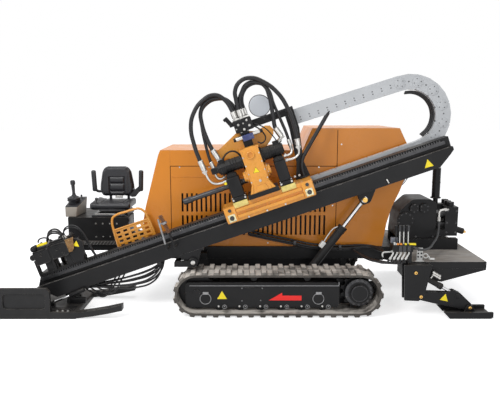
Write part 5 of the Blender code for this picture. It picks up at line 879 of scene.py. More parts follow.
# Mast. A welded box beam with the head's rail on top and the rack beside it; the far edge
# carries the chain's tray, and a saddle with three studs sits on the tilt pin.
TILT = math.radians(19.1)
MAST = Matrix.Translation((-0.67, 0, 0.68)) @ Matrix.Rotation(-TILT, 4, "Y")
MAST_NEAR_Y = -0.86
refinish(black, "mast_beam", "mast_saddle")
dull_black = finish("dull black paint", (0.013, 0.013, 0.014), 0.75, tone=0.2, tone_scale=3.0,
                    wear=0.3, shine=0.08)
refinish(dull_black, "chain_tray")
RACK_START, RACK_LENGTH, RACK_TEETH_Y = -2.02, 5.60, (-0.812, -0.7803)
shells = []
tooth = 0.034
for index in range(int(RACK_LENGTH / tooth)):
    u = RACK_START + tooth * index
    shells.append(plate([(u, 0.438), (u + tooth * 0.8, 0.438), (u + tooth * 0.55, 0.466),
                         (u + tooth * 0.25, 0.466)],
                        RACK_TEETH_Y, 0))
shells.append(block((RACK_START, 3.60), (-0.814, -0.7803), (0.395, 0.442), 0.003, 1))
fitted("mast_rack", shells, dark_steel, "mast", MAST)
LEDGE_BOLT_START, LEDGE_BOLT_PITCH = -1.85, 0.25
# Painted highlight: the ledge strip is worn treadplate, lighter than the beam's black and bare at
# its edges, laid along the beam's near top edge to stand in for the bright line of light there.
shells = [block((-1.98, 3.62), (MAST_NEAR_Y, -0.835), (0.345, 0.353), 0.002, 1)]
for index in range(22):
    shells += bolt((LEDGE_BOLT_START + LEDGE_BOLT_PITCH * index, -0.826, 0.345), (0, 0, 1), 0.009)
fitted("mast_ledge", shells, worn_tread_and_highlight, "mast", MAST)
shells = []
for u in (-0.13, 0.0, 0.13):
    shells.append(bar((u, -0.845, 0.104), (u, -0.845, 0.235), 0.0075, 12))
    shells.append(bar((u, -0.845, 0.225), (u, -0.845, 0.242), 0.0135, 6))
fitted("saddle_studs", [*shells, bar((2.752, -0.87, 0.158), (2.738, -0.87, 0.220), 0.011, 14,
                                     edge=0.003),
                        bar((0, -0.905, 0), (0, -0.9255, 0), 0.030, 20, edge=0.004)],
       bare_steel, "mast", MAST)
sign("mast_sign", 3.308, 0.222, 0.13, MAST_NEAR_Y, "mast", MAST, 0.05)
fitted("hood_cables", [hose([(2.245, -0.30, 1.90), (2.226, -0.30, 1.80), (2.186, -0.30, 1.71),
                             (2.11, -0.30, 1.62), (2.00, -0.30, 1.55)], 0.0055),
                       hose([(2.205, -0.30, 1.88), (2.185, -0.30, 1.78), (2.150, -0.30, 1.69),
                             (2.08, -0.30, 1.60), (1.98, -0.30, 1.52)], 0.0045)], hose_black,
       "machine")

# Vises. Two hydraulic clamps of cast steel that hold the drill rods, with bolted covers,
# a bronze keeper plate, blank labels and short hoses between their cylinders.


def recessed(x, y, z, border, depth, edge=0.004):
    """A cover with a sunk panel in its near face."""
    shell = block(x, y, z, 0)
    front = min(shell.faces, key=lambda face: face.calc_center_median().y)
    bmesh.ops.inset_individual(shell, faces=[front], thickness=border)
    bmesh.ops.translate(shell, verts=front.verts, vec=(0, depth, 0))
    rounded(shell, shell.edges[:], edge)
    return shell


shells = [recessed((-1.942, -1.735), (-0.944, -0.875), (0.628, 0.815), 0.020, 0.012),
          recessed((-1.712, -1.480), (-0.944, -0.875), (0.640, 0.820), 0.018, 0.012),
          *[block(u, y, w, 0.008) for u in ((-1.935, -1.735), (-1.715, -1.480))
            for y, w in (((-0.880, -0.765), (0.630, 0.845)), ((-0.635, -0.530), (0.630, 0.845)),
                         ((-0.880, -0.530), (0.630, 0.700)))],
          block((-1.738, -1.712), (-0.935, -0.765), (0.500, 0.838), 0.004),
          block((-1.990, -1.420), (-0.890, -0.520), (0.4753, 0.512), 0.005),
          block((-1.985, -1.945), (-0.900, -0.850), (0.500, 0.700), 0.006),
          block((-1.850, -1.735), (-0.900, -0.850), (0.505, 0.640), 0.005),
          block((-1.712, -1.695), (-0.900, -0.850), (0.505, 0.650), 0.005),
          block((-1.560, -1.480), (-0.920, -0.860), (0.505, 0.650), 0.006),
          *[block((end - 0.050, end), (-0.600, -0.530), (0.505, 0.640), 0.006)
            for end in (-1.935, -1.710, -1.480)],
          plate([(-1.480, 0.505), (-1.340, 0.505), (-1.300, 0.600), (-1.262, 0.745),
                 (-1.325, 0.812), (-1.480, 0.842)], (-0.925, -0.895), 0.004),
          block((-1.475, -1.330), (-0.895, -0.780), (0.480, 0.800), 0.008),
          turned((-1.930, -0.78, 0.850), (0, -1, 0),
                 [(0, 0), (0.040, 0), (0.042, 0.11), (0.036, 0.122), (0.020, 0.126), (0.018, 0.136),
                  (0, 0.136)], 24),
          turned((-1.982, -0.80, 0.745), (0, -1, 0),
                 [(0, 0), (0.038, 0), (0.040, 0.09), (0.033, 0.102), (0, 0.104)], 24),
          block((-1.715, -1.550), (-0.86, -0.77), (0.845, 0.868), 0.006)]
for u in (-1.93, -1.80, -1.66, -1.50):
    shells.append(turned((u, -0.585, 0.84), (0, 0, 1),
                         [(0, 0), (0.032, 0), (0.030, 0.018), (0.018, 0.024), (0.016, 0.036),
                          (0, 0.036)], 18))
    shells += bolt((u, -0.79, 0.846), (0, 0, 1), 0.012)
for u, w, size in ((-1.615, 0.765, 0.030), (-1.849, 0.755, 0.018), (-1.56, 0.68, 0.014)):
    shells.append(ring((u, -0.935, w), (0, 1, 0), size, 0.005, 24))
for u, w in ((-1.930, 0.64), (-1.748, 0.64), (-1.930, 0.803), (-1.748, 0.803), (-1.700, 0.655),
             (-1.492, 0.655), (-1.700, 0.808), (-1.492, 0.808)):
    shells += bolt((u, -0.944, w), (0, -1, 0), 0.0055)
covers = fitted("vise_covers", shells, black, "mast", MAST)
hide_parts("vise_front", "vise_rear")
bronze = finish("bronze keeper", (0.20, 0.105, 0.035), 0.40, metal=0.5, tone=0.45, tone_scale=18.0,
                wear=0.9, edge=0.004, bare=(0.62, 0.50, 0.33))
fitted("vise_keeper", [plate([(-1.474, 0.668), (-1.425, 0.668), (-1.392, 0.700), (-1.352, 0.842),
                              (-1.470, 0.845)], (-0.944, -0.955), 0.003),
                       ring((-1.424, -0.957, 0.790), (0, 1, 0), 0.026, 0.006, 24),
                       block((-1.452, -1.398), (-0.958, -0.952), (0.700, 0.712), 0.002)],
       bronze, "mast", MAST)
fitted("vise_label", [block((-1.865, -1.728), (-0.90, -0.868), (0.862, 0.892), 0.003)], sign_yellow,
       "mast", MAST)
sign("vise_sign", -1.358, 0.735, 0.095, -0.9265, "mast", MAST, 0.45)
shells = []
for y, lift in ((-0.76, 0.0), (-0.72, 0.02), (-0.79, -0.02)):
    shells.append(hose([(-1.765, y, 0.87), (-1.750, y, 0.925 + lift), (-1.700, y, 0.975 + lift),
                        (-1.612, y, 0.970 + lift), (-1.560, y, 0.91), (-1.550, y, 0.870)], 0.0115))
for y, back in ((-0.80, 0.0), (-0.765, 0.028)):
    shells.append(hose([(-1.50 - back, y, 0.85), (-1.492 - back, y, 0.945 - back),
                        (-1.417 - back, y, 0.984 - back), (-1.334 - back, y, 0.962 - back),
                        (-1.274 - back, y, 0.878), (-1.242 - back, y, 0.724),
                        (-1.218 - back, y, 0.545), (-1.195 - back, y, 0.455)], 0.0095))
shells.append(hose([(-1.90, -0.74, 0.90), (-1.88, -0.74, 0.93), (-1.83, -0.73, 0.94),
                    (-1.78, -0.72, 0.92), (-1.76, -0.70, 0.89)], 0.010))
fitted("vise_hoses", shells, hose_black, "mast", MAST)
shells = []
for u, y in ((-1.765, -0.76), (-1.765, -0.72), (-1.55, -0.76), (-1.55, -0.72), (-1.50, -0.80),
             (-1.525, -0.765), (-1.90, -0.74)):
    shells.append(turned((u, y, 0.840), (0, 0, 1),
                         [(0, 0), (0.017, 0), (0.017, 0.018), (0.0135, 0.020), (0.0135, 0.045),
                          (0, 0.045)], 12))
fitted("vise_unions", shells, bare_steel, "mast", MAST)

# Step guard. Bent orange tube with a slotted panel on the beam's far edge, and beside it
# the steel stop lever with its rusted spring.
hoop_orange = finish("gloss orange paint", (0.74, 0.31, 0.036), 0.26, tone=0.08, tone_scale=3.0,
                     dust=(0.45, 0.27, 0.12), dust_amount=0.2, bare=(0.25, 0.12, 0.06), wear=0.35,
                     edge=0.004, grain=300.0, bump=0.06, coat=0.3, shine=0.35)
GUARD_Y = -0.47
shells = [hose([(-0.985, GUARD_Y, 0.36), (-0.975, GUARD_Y, 0.56), (-0.962, GUARD_Y, 0.70),
                (-0.945, GUARD_Y, 0.80), (-0.910, GUARD_Y, 0.862), (-0.835, GUARD_Y, 0.885),
                (-0.72, GUARD_Y, 0.882), (-0.60, GUARD_Y, 0.878), (-0.525, GUARD_Y, 0.865),
                (-0.475, GUARD_Y, 0.815), (-0.452, GUARD_Y, 0.70), (-0.440, GUARD_Y, 0.36)],
               0.0165),
          bar((-0.960, GUARD_Y, 0.690), (-0.447, GUARD_Y, 0.690), 0.012, 16)]
panel_y, SLOT_PITCH = (GUARD_Y - 0.003, GUARD_Y + 0.003), 0.062
for bar_w in ((0.420, 0.440), (0.470, 0.502), (0.532, 0.564), (0.594, 0.626), (0.656, 0.690)):
    shells.append(block((-0.968, -0.448), panel_y, bar_w, 0.001))
UPRIGHTS = ((-0.968, -0.9405), (-0.8845, -0.8405), (-0.7845, -0.7405), (-0.6845, -0.6405),
            (-0.5845, -0.5405), (-0.4845, -0.448))
for row in range(4):
    rise = SLOT_PITCH * row
    for upright_u in UPRIGHTS:
        shells.append(block(upright_u, panel_y, (0.4385 + rise, 0.4715 + rise), 0))
for u in (-0.980, -0.440):
    shells.append(block((u - 0.02, u + 0.02), (-0.54, GUARD_Y + 0.015), (0.300, 0.380), 0.004))
guard = fitted("guard_frame", shells, hoop_orange, "mast", MAST)
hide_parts("step_guard")
LEVER_U, LEVER_Y = -0.232, -1.030
fitted("stop_lever", [bar((LEVER_U, LEVER_Y, 0.362), (-0.204, LEVER_Y, 0.710), 0.0140, 16,
                          edge=0.004),
                      bar((-0.212, LEVER_Y, 0.640), (-0.155, -1.033, 0.650), 0.009, 14),
                      turned((-0.146, -1.033, 0.640), (-0.13, 0, 1),
                             [(0, -0.014), (0.034, -0.014), (0.036, 0), (0.034, 0.014), (0, 0.014)],
                             20)],
       rubbed, "mast", MAST)
fitted("spring_bracket", [bar((-0.232, -0.850, 0.300), (-0.232, -1.043, 0.300), 0.0145, 16,
                              edge=0.003),
                          bar((-0.233, LEVER_Y, 0.300), (-0.231, LEVER_Y, 0.375), 0.0160, 16,
                              edge=0.003),
                          bar((-0.128, -0.850, 0.290), (-0.128, -1.045, 0.290), 0.012, 14,
                              edge=0.003),
                          bar((-0.128, -1.033, 0.290), (-0.131, -1.033, 0.500), 0.0145, 14,
                              edge=0.003)],
       black, "mast", MAST)
rust = finish("rusted spring", (0.16, 0.075, 0.04), 0.45, metal=0.5, tone=0.3, tone_scale=30.0,
              grain=200.0, bump=0.1, edge=0.001)
COILS, COIL_STEP = 13, Vector((-0.0026, 0, 0.0190))
shells = [ring(Vector((-0.132, -1.033, 0.512)) + COIL_STEP * index, (-0.14, 0, 1), 0.023, 0.0065,
               18)
          for index in range(COILS)]
shells.append(bar((-0.130, -1.033, 0.475), (-0.168, -1.033, 0.752), 0.010, 14, edge=0.003))
fitted("stop_spring", shells, rust, "mast", MAST)
shells = []
BUNDLE = ((-0.42, 0.225, -0.740), (-0.40, 0.190, -0.705), (-0.43, 0.160, -0.755),
          (-0.41, 0.130, -0.680), (-0.44, 0.100, -0.725), (-0.42, 0.070, -0.660),
          (-0.45, 0.045, -0.750))  # where each hose starts, how far it sags, and its y
SAG = ((0, 0), (0.06, 0.5), (0.20, 0.97), (0.42, 0.98), (0.66, 0.62), (0.86, 0.22), (1, 0))
for start, sag, y in BUNDLE:
    shells.append(hose([(start - (1.50 + start) * share, y, 0.107 - sag * depth)
                        for share, depth in SAG], 0.0125))
for turn_u, low_w in ((-1.20, -0.075), (-1.27, -0.050), (-1.33, -0.090)):
    shells.append(hose([(turn_u + 0.24, -0.70, 0.12), (turn_u + 0.14, -0.73, 0.03),
                        (turn_u, -0.74, low_w), (turn_u - 0.14, -0.72, 0.01),
                        (turn_u - 0.24, -0.70, 0.12)], 0.0105))
for u in (-0.46, -1.50):
    shells.append(block((u - 0.03, u + 0.03), (-0.772, -0.628), (0.087, 0.1367), 0.005))
bundle = fitted("beam_hoses", shells, hose_black, "mast", MAST)
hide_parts("mast_hoses")

# Drill head carriage. An orange casting that straddles the rail, with guide rollers under
# square keeper plates at its ends and gold pads below the thrust motors.
HEAD = MAST @ Matrix.Translation((1.20, 0, 0))
cast_orange = finish("cast orange enamel", (0.76, 0.325, 0.042), 0.28, tone=0.10, tone_scale=5.0,
                     dust=(0.40, 0.24, 0.11), dust_amount=0.15, bare=(0.30, 0.15, 0.07), wear=0.3,
                     edge=0.006, grain=140.0, bump=0.12, coat=0.3, shine=0.35)
refinish(cast_orange, "carriage", "rotary_gearbox")
keepers, rollers, bolts, frames = [], [], [], []
CARRIAGE_NEAR_Y, ROLLER_W = -0.962, 0.400
for u in (-0.51, 0.54):
    frames.append(block((u - 0.075, u + 0.075), (-0.94, CARRIAGE_NEAR_Y), (0.338, 0.545), 0.010))
    keepers.append(plate([(u - 0.048, 0.352), (u + 0.048, 0.352), (u + 0.048, 0.448),
                          (u - 0.048, 0.448)], (CARRIAGE_NEAR_Y, -0.968), 0.003))
    rollers.append(bar((u, -0.968, ROLLER_W), (u, -0.985, ROLLER_W), 0.032, 24, 0.028, 0.004))
    rollers.append(bar((u, CARRIAGE_NEAR_Y, 0.503), (u, -0.982, 0.503), 0.024, 24, 0.020, 0.004))
    rollers.append(bar((u, -0.984, ROLLER_W), (u, -0.990, ROLLER_W), 0.012, 6))
    for a, b in ((-1, -1), (1, -1), (1, 1), (-1, 1)):
        bolts += bolt((u + a * 0.038, -0.968, ROLLER_W + b * 0.038), (0, -1, 0), 0.0055)
for u in (-0.30, -0.05, 0.20):
    bolts += bolt((u, -0.944, 0.348), (0, -1, 0), 0.008)
fitted("carriage_ends", frames, cast_orange, "head", HEAD)
keeper_plate = finish("keeper plate", (0.72, 0.66, 0.40), 0.35, metal=0.5, tone=0.25,
                      tone_scale=25.0, edge=0.002)
fitted("carriage_keepers", keepers, keeper_plate, "head", HEAD)
fitted("carriage_rollers", rollers, dark_steel, "head", HEAD)
brass_pads = finish("brass pads", (0.63, 0.52, 0.17), 0.42, metal=0.35, tone=0.14, tone_scale=25.0,
                    grain=120.0, bump=0.15, edge=0.003)
fitted("carriage_pads", [block((u - 0.10, u + 0.095), (-0.952, -0.925), (0.503, 0.578), 0.005)
                         for u in (-0.34, 0.31)], brass_pads, "head", HEAD)
fitted("gearbox_foot", [block((-0.222, 0.190), (-0.990, -0.62), (0.5505, 0.612), 0.008)], black,
       "head", HEAD)

# Thrust motors. Square black orbital motors that stand on the carriage and drive its rack
# pinions, each with a round end cap, flange screws and a bent plated pipe.
refinish(black, "thrust_motor_front", "thrust_motor_rear", "rotary_motor_front",
         "rotary_motor_rear")
shells, caps, pipes = [], [], []
for u in (-0.34, 0.30):
    half = 0.084 if u < 0 else 0.074
    shells.append(block((u - half, u + half), (-0.926, -0.755), (0.635, 0.898), 0.012, 3))
    shells.append(block((u - half - 0.014, u + half + 0.014), (-0.932, -0.75), (0.580, 0.632),
                        0.008))
    shells.append(block((u - half + 0.016, u + half - 0.016), (-0.915, -0.765), (0.898, 0.945),
                        0.010))
    shells.append(turned((u, -0.84, 0.930), (0, 0, 1),
                         [(0, 0), (0.062, 0), (0.062, 0.016), (0.052, 0.026), (0.030, 0.030),
                          (0, 0.030)], 28))
    shells.append(block((u - 0.05, u + 0.05), (-0.934, -0.915), (0.915, 0.935), 0.004))
    for a in (-1, 1):
        bolts += bolt((u + a * (half - 0.004), -0.932, 0.606), (0, -1, 0), 0.009)
        for b in (-1, 1):
            bolts += bolt((u + a * (half + 0.001), -0.84 + b * 0.075, 0.632), (0, 0, 1), 0.009)
fitted("thrust_caps", shells, black, "head", HEAD)
for points in ([(-0.425, -0.85, 0.875), (-0.50, -0.86, 0.868), (-0.575, -0.86, 0.885),
                (-0.625, -0.86, 0.935), (-0.652, -0.858, 1.07)],
               [(-0.425, -0.80, 0.925), (-0.49, -0.82, 0.918), (-0.525, -0.82, 0.945),
                (-0.533, -0.80, 1.05)],
               [(0.380, -0.85, 0.875), (0.49, -0.86, 0.868), (0.560, -0.86, 0.895),
                (0.585, -0.86, 0.945), (0.590, -0.858, 0.99)],
               [(0.380, -0.80, 0.935), (0.455, -0.80, 0.925), (0.498, -0.79, 0.955),
                (0.505, -0.77, 1.01)]):
    pipes.append(hose(points, 0.0155))
    first, second, last = Vector(points[0]), Vector(points[1]), Vector(points[-1])
    pipes.append(bar(last - Vector((0, 0, 0.03)), last + Vector((0, 0, 0.02)), 0.025, 6))
    pipes.append(bar(first, first + (second - first).normalized() * 0.03, 0.024, 6))
fitted("thrust_pipes", pipes, bare_steel, "head", HEAD)
fitted("pipe_cap", [bar((-0.445, -0.875, 0.845), (-0.445, -0.905, 0.845), 0.018, 16, edge=0.003)],
       sign_yellow, "head", HEAD)

# Rotary gearbox. A tall cast orange case with raised side flanges, a lifting ring and a
# drain plug; the two rotary motors bolt to its sides.
shells = [block((-0.133, -0.112), (-0.985, -0.955), (0.72, 1.175), 0.006),
          block((0.082, 0.103), (-0.985, -0.955), (0.72, 1.175), 0.006),
          plate([(-0.185, 0.612), (-0.140, 0.612), (-0.108, 0.72), (-0.133, 0.72)],
                (-0.989, -0.955), 0.004),
          plate([(0.110, 0.612), (0.155, 0.612), (0.103, 0.72), (0.078, 0.72)], (-0.989, -0.955),
                0.004),
          plate([(-0.095, 0.62), (0.065, 0.62), (0.045, 0.70), (-0.075, 0.70)], (-0.981, -0.990),
                0.004),
          block((-0.142, 0.112), (-0.95, -0.60), (1.16, 1.19), 0.006),
          turned((-0.015, -0.975, 0.770), (0, -1, 0),
                 [(0, 0), (0.030, 0), (0.030, 0.012), (0.022, 0.016), (0, 0.016)], 24),
          ring((-0.022, -0.994, 1.098), (0, 1, 0.1), 0.043, 0.0105, 28)]
FLANGE_Y, FLANGE_W = -0.87, 0.845
for u, side in ((-0.150, -1), (0.120, 1)):
    shells.append(turned((u - side * 0.03, FLANGE_Y, FLANGE_W), (side, 0, 0),
                         [(0, 0), (0.088, 0), (0.088, 0.034), (0.070, 0.042), (0.060, 0.075),
                          (0, 0.075)], 32))
    for angle in (0.3, 1.3, 2.3, 3.4, 4.4, 5.4):
        at = (u + side * 0.004, FLANGE_Y + 0.077 * math.cos(angle),
              FLANGE_W + 0.077 * math.sin(angle))
        bolts += bolt(at, (side, 0, 0), 0.007)
fitted("gearbox_flanges", shells, cast_orange, "head", HEAD)
for w in (0.76, 0.87, 0.98, 1.09):
    for u in (-0.1225, 0.0925):
        bolts += bolt((u, -0.986, w), (0, -1, 0), 0.006)
bolts += bolt((-0.01, -0.981, 0.755), (0, -1, 0), 0.015)
fitted("head_bolts", bolts, bare_steel, "head", HEAD)
sign("gearbox_sign", -0.015, 0.885, 0.085, -0.9805, "head", HEAD, 0.12)
MOTOR_Y, MOTOR_W = -0.80, 1.04
shells = []
for seat, side, length in ((-0.13, -1, 0.34), (0.10, 1, 0.29)):
    for share in (0.30, 0.40, 0.50):
        u = seat + side * share * length
        shells.append(ring((u, MOTOR_Y, MOTOR_W), (1, 0, 0), 0.086, 0.005, 32))
    end = seat + side * length
    shells.append(bar((end, MOTOR_Y, MOTOR_W), (end + side * 0.018, MOTOR_Y, MOTOR_W), 0.066, 28,
                      0.058, 0.005))
    shells.append(block((end - side * 0.10, end - side * 0.02), (-0.86, -0.74), (1.10, 1.155),
                        0.008))
    for angle in (0.8, 2.3, 3.9, 5.4):
        at = (seat + side * 0.030, MOTOR_Y + 0.097 * math.cos(angle),
              MOTOR_W + 0.097 * math.sin(angle))
        shells += bolt(at, (side, 0, 0), 0.009)
shells.append(block((-0.575, -0.475), (-0.85, -0.75), (1.00, 1.08), 0.010))
fitted("motor_details", shells, black, "head", HEAD)

# Drive spindle. The turned steel nose that takes the drill rods, with a rounded shoulder.
refinish(dark_steel, "drive_spindle")
SPINDLE = HEAD @ Matrix.Translation((0, -0.70, 0.776))
fitted("spindle_collar", [bar((-1.07, 0, 0), (-0.96, 0, 0), 0.0445, 28, edge=0.006),
                          bar((-0.30, 0, 0), (-0.24, 0, 0), 0.046, 28, edge=0.005)], dark_steel,
       "spindle", SPINDLE)

# Hose manifold. A black ported block on the gearbox with a blue pilot valve, two plated
# solenoids, plugs and a black breather elbow.
refinish(black, "hose_manifold")
blue_valve = finish("blue valve paint", (0.022, 0.035, 0.15), 0.35, tone=0.15, tone_scale=20.0,
                    edge=0.003, coat=0.3)
fitted("pilot_valve", [block((-0.048, 0.098), (-0.915, -0.842), (1.278, 1.356), 0.008),
                       *[shell for u in (-0.02, 0.07) for w in (1.30, 1.335)
                         for shell in bolt((u, -0.915, w), (0, -1, 0), 0.008)]], blue_valve, "head",
       HEAD)
shells = [turned((-0.048, -0.88, 1.330), (-1, 0, 0),
                 [(0, 0), (0.030, 0), (0.031, 0.04), (0.028, 0.085), (0, 0.09)], 24),
          turned((0.098, -0.88, 1.338), (1, 0, 0),
                 [(0, 0), (0.022, 0), (0.024, 0.05), (0.022, 0.09), (0, 0.095)], 24)]
for a, b, size in ((-0.046, 1.500, 0.018), (0.011, 1.425, 0.021), (0.089, 1.453, 0.020),
                   (-0.038, 1.402, 0.016), (0.074, 1.526, 0.018), (0.020, 1.500, 0.012),
                   (-0.085, 1.455, 0.012), (0.050, 1.398, 0.012)):
    depth = -0.840 if b < 1.41 else -0.872
    shells.append(turned((a, depth, b), (0, -1, 0),
                         [(0, -0.01), (size, -0.01), (size, 0.010), (size * 0.7, 0.018),
                          (size * 0.4, 0.018), (size * 0.35, 0.010), (0, 0.010)], 12))
fitted("valve_solenoids", shells, bare_steel, "head", HEAD)
shells = [bar((-0.136, -0.88, 1.330), (-0.166, -0.88, 1.330), 0.024, 20, edge=0.004),
          bar((0.190, -0.88, 1.338), (0.228, -0.88, 1.338), 0.023, 20, edge=0.004),
          bar((-0.05, -0.80, 1.538), (-0.130, -0.80, 1.527), 0.027, 24, edge=0.004),
          turned((-0.128, -0.80, 1.500), (-0.02, 0, 1),
                 [(0, 0), (0.026, 0), (0.031, 0.012), (0.031, 0.045), (0, 0.05)], 24),
          bar((-0.134, -0.80, 1.53), (-0.178, -0.80, 1.632), 0.027, 24, edge=0.004),
          bar((-0.172, -0.80, 1.60), (-0.186, -0.80, 1.636), 0.032, 24, edge=0.004),
          block((-0.105, 0.135), (-0.872, -0.855), (1.405, 1.555), 0.008),
          block((-0.060, 0.060), (-0.855, -0.838), (1.36, 1.41), 0.005),
          hose([(-0.15, -0.86, 1.13), (-0.20, -0.88, 1.20), (-0.28, -0.89, 1.215),
                (-0.36, -0.88, 1.17), (-0.40, -0.86, 1.11)], 0.0115),
          hose([(0.145, -0.80, 1.42), (0.215, -0.85, 1.33), (0.225, -0.87, 1.22),
                (0.16, -0.88, 1.19), (0.12, -0.88, 1.22)], 0.009),
          hose([(0.16, -0.84, 1.45), (0.26, -0.87, 1.36), (0.33, -0.88, 1.22), (0.36, -0.88, 1.12)],
               0.0075)]
fitted("manifold_parts", shells, black, "head", HEAD)

# Head hoses. Six high-pressure hoses arch from swaged unions on the manifold down to the
# motors; each is black rubber over steel braid with plated ferrules at its ends.
routes = {
    "front": (((-0.055, 1.60), (-0.062, 1.70), (-0.110, 1.865), (-0.205, 1.955), (-0.371, 1.938),
               (-0.538, 1.821), (-0.626, 1.673), (-0.663, 1.438), (-0.662, 1.216), (-0.653, 1.10)),
              ((-0.030, 1.60), (-0.035, 1.70), (-0.075, 1.835), (-0.200, 1.915), (-0.350, 1.905),
               (-0.444, 1.815), (-0.482, 1.676), (-0.487, 1.485), (-0.466, 1.300), (-0.434, 1.180)),
              ((-0.005, 1.60), (-0.012, 1.69), (-0.060, 1.82), (-0.190, 1.895), (-0.350, 1.880),
               (-0.456, 1.790), (-0.500, 1.625), (-0.535, 1.360), (-0.545, 1.168), (-0.534, 1.08))),
    "rear": (((0.020, 1.60), (0.020, 1.69), (0.031, 1.80), (0.061, 1.924), (0.16, 2.008),
              (0.296, 2.006), (0.417, 1.922), (0.555, 1.726), (0.616, 1.501), (0.625, 1.239),
              (0.595, 1.01)),
             ((0.055, 1.60), (0.055, 1.68), (0.070, 1.79), (0.128, 1.870), (0.221, 1.948),
              (0.355, 1.935), (0.435, 1.851), (0.447, 1.724), (0.413, 1.463), (0.392, 1.300),
              (0.430, 1.185)),
             ((0.090, 1.60), (0.090, 1.68), (0.105, 1.79), (0.160, 1.875), (0.250, 1.925),
              (0.380, 1.905), (0.460, 1.806), (0.470, 1.600), (0.490, 1.380), (0.506, 1.180),
              (0.505, 1.03)))}
HOSE_RUNS = ((-0.825, -0.86, 0.027), (-0.775, -0.81, 0.027), (-0.725, -0.78, 0.020))  # y, y, radius
ferrules = []
for place, trio in routes.items():
    shells = []
    for route, (start_y, end_y, radius) in zip(trio, HOSE_RUNS):
        knots = [(u, start_y + (end_y - start_y) * min(1.0, index / 4), w)
                 for index, (u, w) in enumerate(route)]
        shells.append(hose(knots, radius, 14))
        for end, inner in ((Vector(knots[0]), Vector(knots[1])),
                           (Vector(knots[-1]), Vector(knots[-2]))):
            long = 0.125 if 1.1 < end.z < 1.25 else 0.078
            crimp = [(0, -0.030), (radius * 0.95, -0.030), (radius * 0.95, -0.004),
                     (radius * 1.35, 0.0), (radius * 1.35, long), (radius * 1.12, long + 0.007),
                     (0, long + 0.007)]
            ferrules.append(turned(end, inner - end, crimp, 20))
            ferrules.append(turned(end, inner - end,
                                   [(0, -0.034), (radius * 1.4, -0.034), (radius * 1.4, -0.012),
                                    (0, -0.012)], 6))
    piece = fitted(f"arched_hoses_{place}", shells, hose_black, "head", HEAD)
    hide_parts(f"head_hoses_{place}")
for start, turn_at, end in (((-0.436, -0.81, 1.19), (-0.428, -0.81, 1.15), (-0.420, -0.80, 1.115)),
                            ((0.430, -0.81, 1.19), (0.405, -0.81, 1.15), (0.350, -0.80, 1.115))):
    ferrules.append(bar(start, turn_at, 0.024, 20, edge=0.003))
    ferrules.append(bar(turn_at, end, 0.030, 6))
ferrules.append(block((-0.10, 0.125), (-0.845, -0.745), (1.5603, 1.585), 0.005))
fitted("hose_ferrules", ferrules, bare_steel, "head", HEAD)

# Chain bracket and guide disc. A black plate arm that carries the drag chain's moving end,
# with a pale round cover on its far side and the cable run down to the carriage.
refinish(black, "chain_bracket")
disc_grey = finish("pale grey cover", (0.70, 0.735, 0.78), 0.35, tone=0.04, tone_scale=3.0,
                   grain=200.0, bump=0.03, edge=0.003)
refinish(disc_grey, "chain_guide_disc")
low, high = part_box("chain_guide_disc")
shells = [ring((0.296, low.y + 0.002, 1.642), (0, 1, 0), 0.141, 0.005, 48)]
fitted("disc_rim", shells, dark_steel, "head", HEAD)
shells = [bar((1.150, -0.50, 1.272), (0.640, -0.60, 0.832), 0.026, 20),
          hose([(0.66, -0.596, 0.85), (0.615, -0.605, 0.805), (0.580, -0.615, 0.74),
                (0.560, -0.62, 0.66), (0.555, -0.62, 0.565)], 0.026),
          block((0.50, 0.60), (-0.66, -0.54), (0.5505, 0.572), 0.005),
          block((0.10, 0.69), (-0.604, -0.596), (1.478, 1.497), 0.003)]
for u in (0.15, 0.30, 0.45, 0.60):
    shells += bolt((u, -0.60, 1.462), (0, -1, 0), 0.009)
fitted("chain_cable", shells, hose_black, "head", HEAD)
fitted("arm_bolts", [shell for u in (0.44, 0.50)
                     for shell in bolt((u, -0.60, 0.60), (0, -1, 0), 0.010)],
       bare_steel, "head", HEAD)

# Drag chain. Light grey moulded links, each pinned to the next, that carry the head's
# hoses; the upper run's pins go with the head, and the bend has discs, screws and hoses.
chain_grey = finish("chain link grey", (0.50, 0.515, 0.53), 0.42, tone=0.05, tone_scale=3.0,
                    dust_amount=0.15, dust=(0.35, 0.33, 0.30), bare=(0.30, 0.30, 0.31), wear=0.35,
                    edge=0.004, grain=220.0, bump=0.08)
refinish(chain_grey, "chain_upper", "chain_loop")
BEND = MAST @ Matrix.Translation((3.34, 0, 0))
BEND_RADIUS, BEND_W, LINK = 0.45, 0.86, math.pi / 6
discs, screws = [], []
for index in range(7):
    angle = math.pi / 2 - math.pi * index / 6
    at = Vector((BEND_RADIUS * math.cos(angle), 0, BEND_W + BEND_RADIUS * math.sin(angle)))
    for y, way in ((-0.525, -1), (-0.415, 1)):
        discs.append(bar((at.x, y, at.z), (at.x, y + way * 0.006, at.z), 0.072, 32, edge=0.003))
        for turn in (0.4, 2.0, 3.5, 5.1):
            spot = at + Vector((0.047 * math.cos(turn + angle), 0, 0.047 * math.sin(turn + angle)))
            screws.append(bar((spot.x, y + way * 0.005, spot.z), (spot.x, y + way * 0.008, spot.z),
                              0.007, 10))
    if index < 6:
        half = angle - LINK / 2
        spot = Vector((BEND_RADIUS * math.cos(half), 0, BEND_W + BEND_RADIUS * math.sin(half)))
        screws.append(bar((spot.x, -0.524, spot.z), (spot.x, -0.529, spot.z), 0.009, 10))
for index in range(1, 12):
    u = -2.74 * index / 12
    discs.append(bar((u, -0.414, 0.41), (u, -0.409, 0.41), 0.070, 24, edge=0.003))
fitted("chain_discs", discs, chain_grey, "chain_bend", BEND)
PIN_START, PIN_PITCH = 0.76, 0.125
fitted("chain_pins", [bar((u, -0.524, w), (u, -0.5275, w), 0.008, 10)
                      for u in (PIN_START + PIN_PITCH * index for index in range(11))
                      for w in (1.292, 1.326)], dark_steel, "head", HEAD)
fitted("chain_screws", screws, dark_steel, "chain_bend", BEND)
shells = []
